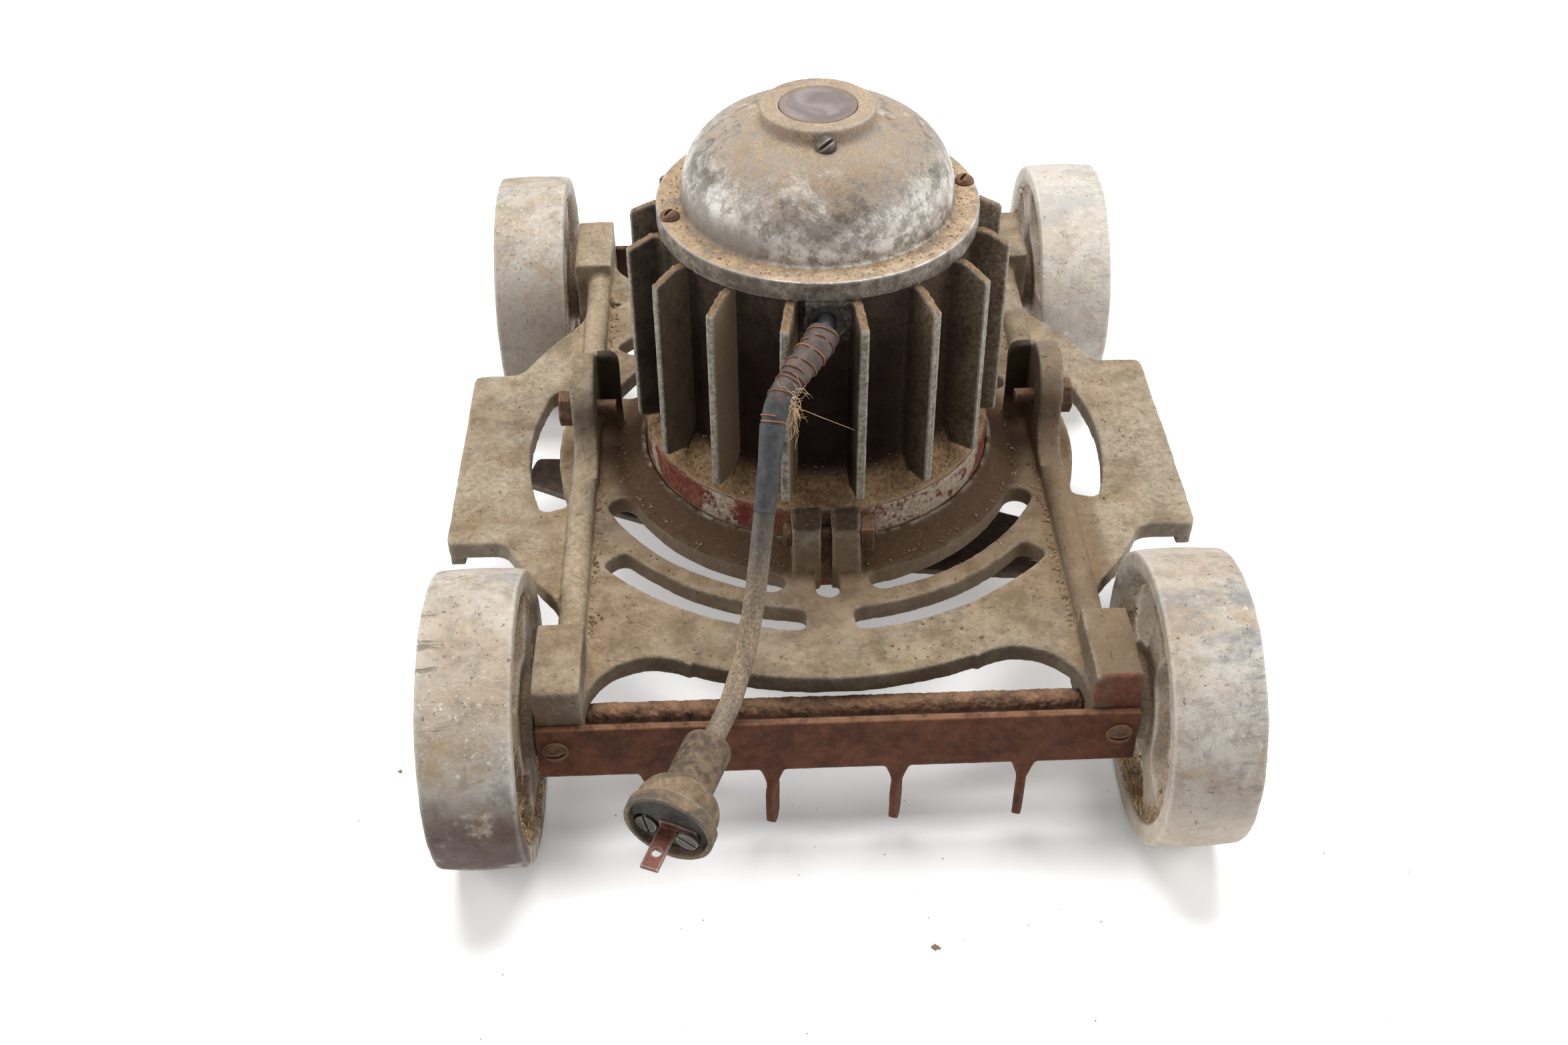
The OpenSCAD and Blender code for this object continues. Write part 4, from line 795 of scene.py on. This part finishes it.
def stray(start, push, reach, bend, thick, rng, steps=9):
    """A loose fibre that leaves start along push and curls."""
    p, d = Vector(start), Vector(push).normalized()
    pts = [p.copy()]
    for _ in range(steps):
        curl = Vector((rng.uniform(-1, 1), rng.uniform(-1, 1), rng.uniform(-1, 1) - SAG))
        d = (d + curl * bend).normalized()
        p = p + d * (reach / steps)
        pts.append(p.copy())
    return tube(pts, lambda i, a: thick * MM * (1 - 0.6 * i / steps), 4)


rng = random.Random(7)
THREADS = (   # first and last point of wrap_path, turns, start angle, thickness in mm
    (3, 16, 1.2, 0.4, 0.26), (22, 34, 1.3, 2.0, 0.3), (40, 52, 1.1, 4.4, 0.28), (56, 64, 1.2, 0.9, 0.32),
    (62, 70, 1.1, 3.1, 0.24), (76, 92, 1.05, 5.1, 0.24), (108, 116, 1.2, 1.2, 0.3))
threads = [wound_thread(*thread, rng) for thread in THREADS]
thread_piece = mesh_piece("cord_threads", *join(threads), "thread", "motor", "tape")

FRAYS, KNOT_POINT = 70, 92
frays = []
knot = wrap_path[KNOT_POINT] + Vector((4.6, -1.5, 0)) * MM
for _ in range(FRAYS):
    start = knot + Vector((rng.gauss(0.4, 0.9), rng.gauss(-0.5, 0.8), rng.gauss(-1, 4))) * MM
    frays.append(stray(start, (rng.uniform(-0.2, 0.9), rng.uniform(-0.8, 0.2), rng.uniform(-1, 0.5)),
                       rng.uniform(2, 9) * MM, 0.45, rng.uniform(0.05, 0.13), rng))
frays.append(stray(knot + Vector((1, 0, -1)) * MM, (0.93, -0.2, -0.28), 22 * MM, 0.05, 0.09, rng, 14))
fray_piece = mesh_piece("cord_fray", *join(frays), "fray", "motor", "tape")

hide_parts("cord")
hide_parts("cord_tape")

# ---------- dry grass in the wheels, crumbs and lint ----------


def clump(place, size, rng):
    """A small uneven crumb: a squashed octahedron with every corner pushed about."""
    tips = [(1, 0, 0), (-1, 0, 0), (0, 1, 0), (0, -1, 0), (0, 0, 1), (0, 0, -0.6)]
    verts = [Vector(place) + Vector([c * size * rng.uniform(0.6, 1.3) for c in tip]) for tip in tips]
    faces = [(0, 2, 4), (2, 1, 4), (1, 3, 4), (3, 0, 4), (2, 0, 5), (1, 2, 5), (3, 1, 5), (0, 3, 5)]
    return verts, faces


GRASS_PER_WHEEL, SOIL_PER_WHEEL, CRUMBS_ON_DECK, CRUMBS_AT_RAILS = 420, 260, 900, 420
CRUMBS_ON_FLANGE, CRUMBS_AT_FINS, BITS_ON_FLOOR = 420, 900, 70
# mm: where the loose stuff lies in and on the mower
WHEEL_Z, FRONT_AXLE, REAR_AXLE, MOTOR_Y = 54, -141, 143, -2
RIM_INSIDE, WEB_X, RIM_MOUTH_X = 44.6, 109.2, 119
DECK_Z, COLLAR_Z, FLANGE_Z, HOUSING_FOOT_Z = 68.2, 69.5, 184.4, 90


def wheel_grass(side, axle_y, rng):
    """Clippings and crumbs packed against the inside of a rim, thickest at the bottom."""
    strands, crumbs = [], []
    for _ in range(GRASS_PER_WHEEL):
        a = -math.pi / 2 + rng.gauss(0, 1.0)
        depth = rng.uniform(109.4, 118)
        r = 44.3 - abs(rng.gauss(0, 1.6)) - 0.05 * (118 - depth)
        start = Vector((side * depth, axle_y + r * math.cos(a), WHEEL_Z + r * math.sin(a))) * MM
        along = Vector((rng.gauss(0, 0.35), -math.sin(a) * rng.choice((-1, 1)),
                        math.cos(a) * rng.choice((-1, 1))))
        pts, turn = [start], rng.uniform(-0.1, 0.1)
        reach = rng.uniform(2.0, 7.0) * MM
        for _ in range(4):
            inward = Vector((rng.gauss(0, 0.15), -0.25 * math.cos(a + turn), -0.25 * math.sin(a + turn)))
            along = (along + inward).normalized()
            step = pts[-1] + along * (reach / 4)
            flat = Vector((0, step.y - axle_y * MM, step.z - WHEEL_Z * MM))
            if flat.length > RIM_INSIDE * MM:
                flat = flat.normalized() * RIM_INSIDE * MM
                step = Vector((step.x, flat.y + axle_y * MM, flat.z + WHEEL_Z * MM))
            step.x = side * min(max(abs(step.x), WEB_X * MM), RIM_MOUTH_X * MM)
            pts.append(step)
        thick = rng.uniform(0.14, 0.34)
        strands.append(tube(pts, lambda i, angle: thick * MM * (1 - 0.15 * i), 4))
    for _ in range(SOIL_PER_WHEEL):
        a = -math.pi / 2 + rng.gauss(0, 1.2)
        r = rng.uniform(41, 44.8)
        x = side * rng.uniform(110, 119.5)
        spot = Vector((x, axle_y + r * math.cos(a), WHEEL_Z + r * math.sin(a))) * MM
        crumbs.append(clump(spot, rng.uniform(0.3, 1.0) * MM, rng))
    return join(strands), join(crumbs)


for corner, side, axle_y in (("front_left", -1, FRONT_AXLE), ("front_right", 1, FRONT_AXLE),
                             ("rear_left", -1, REAR_AXLE), ("rear_right", 1, REAR_AXLE)):
    strands, crumbs = wheel_grass(side, axle_y, random.Random(corner))
    mesh_piece("grass_" + corner, *strands, "grass", "wheel_" + corner, "wheel_alloy")
    mesh_piece("soil_" + corner, *crumbs, "crumb", "wheel_" + corner, "wheel_alloy", False)


def deck_height(x, y):
    """Height of the flat top at a spot, or None over a slot, a wheel or outside the casting."""
    wide, r = abs(x), math.hypot(x, y - MOTOR_Y)
    angle = abs(math.degrees(math.atan2(abs(y - MOTOR_Y), wide)))
    if 84 < wide < 102 or r < 75 or r > 134 or wide < 14:   # rails, motor, outside, clamp lugs
        return None
    if (82 < r < 95 and 21 < angle < 81) or (101 < r < 114.5 and 38 < angle < 87):   # arc slots
        return None
    if wide > 102 and (abs(y) > 45 or 105 < r < 121):   # wheels and side slots
        return None
    return DECK_Z if r > 83 else COLLAR_Z


def scatter_crumbs(count, rail_count, rng):
    """Crumbs and lint over the deck, denser near the motor, and crumbs along the feet of the rails."""
    crumbs, lint = [], []
    while len(crumbs) < count:
        r = 75 + 60 * rng.random() ** 1.6
        a = rng.uniform(0, TURN)
        x, y = r * math.cos(a), MOTOR_Y + r * math.sin(a)
        z = deck_height(x, y)
        if z is None:
            continue
        crumbs.append(clump(Vector((x, y, z)) * MM, rng.uniform(0.2, 0.75) ** 1.3 * MM, rng))
        if rng.random() < 0.16:
            lint.append(stray(Vector((x, y, z + 0.2)) * MM, (rng.uniform(-1, 1), rng.uniform(-1, 1), 0.1),
                              rng.uniform(1.5, 5) * MM, 0.35, 0.09, rng, 5))
    for _ in range(rail_count):
        side, y = rng.choice((-1, 1)), rng.uniform(-118, 112)
        off = abs(rng.gauss(0, 1.6))
        if abs(y - MOTOR_Y) < 17:   # under the ears
            continue
        spot = Vector((side * (89.6 - off), y, 68.3 + max(0.0, 1.2 - off) * 0.5)) * MM
        crumbs.append(clump(spot, rng.uniform(0.25, 0.95) * MM, rng))
    return join(crumbs), join(lint)


deck_crumbs, deck_lint = scatter_crumbs(CRUMBS_ON_DECK, CRUMBS_AT_RAILS, random.Random(3))
mesh_piece("deck_crumbs", *deck_crumbs, "crumb", "carriage", "cast_alloy", False)
mesh_piece("deck_lint", *deck_lint, "grass", "carriage", "cast_alloy")

rng = random.Random(11)
motor_crumbs = []
for _ in range(CRUMBS_ON_FLANGE):
    a, r = rng.uniform(0, TURN), rng.uniform(51.6, 58.5)
    spot = Vector((r * math.cos(a), MOTOR_Y + r * math.sin(a), FLANGE_Z)) * MM
    motor_crumbs.append(clump(spot, rng.uniform(0.15, 0.5) * MM, rng))
for _ in range(CRUMBS_AT_FINS):
    a, r = rng.uniform(0, TURN), rng.uniform(58.5, 68.5)
    z = HOUSING_FOOT_Z + 12 * max(0.0, (69.6 - r) / 11) ** 2
    spot = Vector((r * math.cos(a), MOTOR_Y + r * math.sin(a), z)) * MM
    motor_crumbs.append(clump(spot, rng.uniform(0.2, 0.7) * MM, rng))
mesh_piece("motor_crumbs", *join(motor_crumbs), "crumb", "motor", "cast_alloy", False)

# ---------- floor ----------

FLOOR = 10   # metres from the middle to each side
corners = [(-FLOOR, -FLOOR, 0), (FLOOR, -FLOOR, 0), (FLOOR, FLOOR, 0), (-FLOOR, FLOOR, 0)]
floor = mesh_piece("floor", corners, [(0, 1, 2, 3)], "floor", None, None, False)
rng = random.Random(5)
BITS = (((32, -208, 0.6), 1.4), ((33.4, -208.6, 0.5), 1.0), ((-168, -118, 0.6), 1.1))   # mm: place and size
fallen = [clump(Vector(place) * MM, size * MM, rng) for place, size in BITS]
for _ in range(BITS_ON_FLOOR):
    spot = Vector((rng.gauss(0, 110), rng.gauss(-170, 60), 0.2)) * MM
    fallen.append(clump(spot, rng.uniform(0.12, 0.4) * MM, rng))
bits = mesh_piece("fallen_bits", *join(fallen), "crumb", None, None, False)
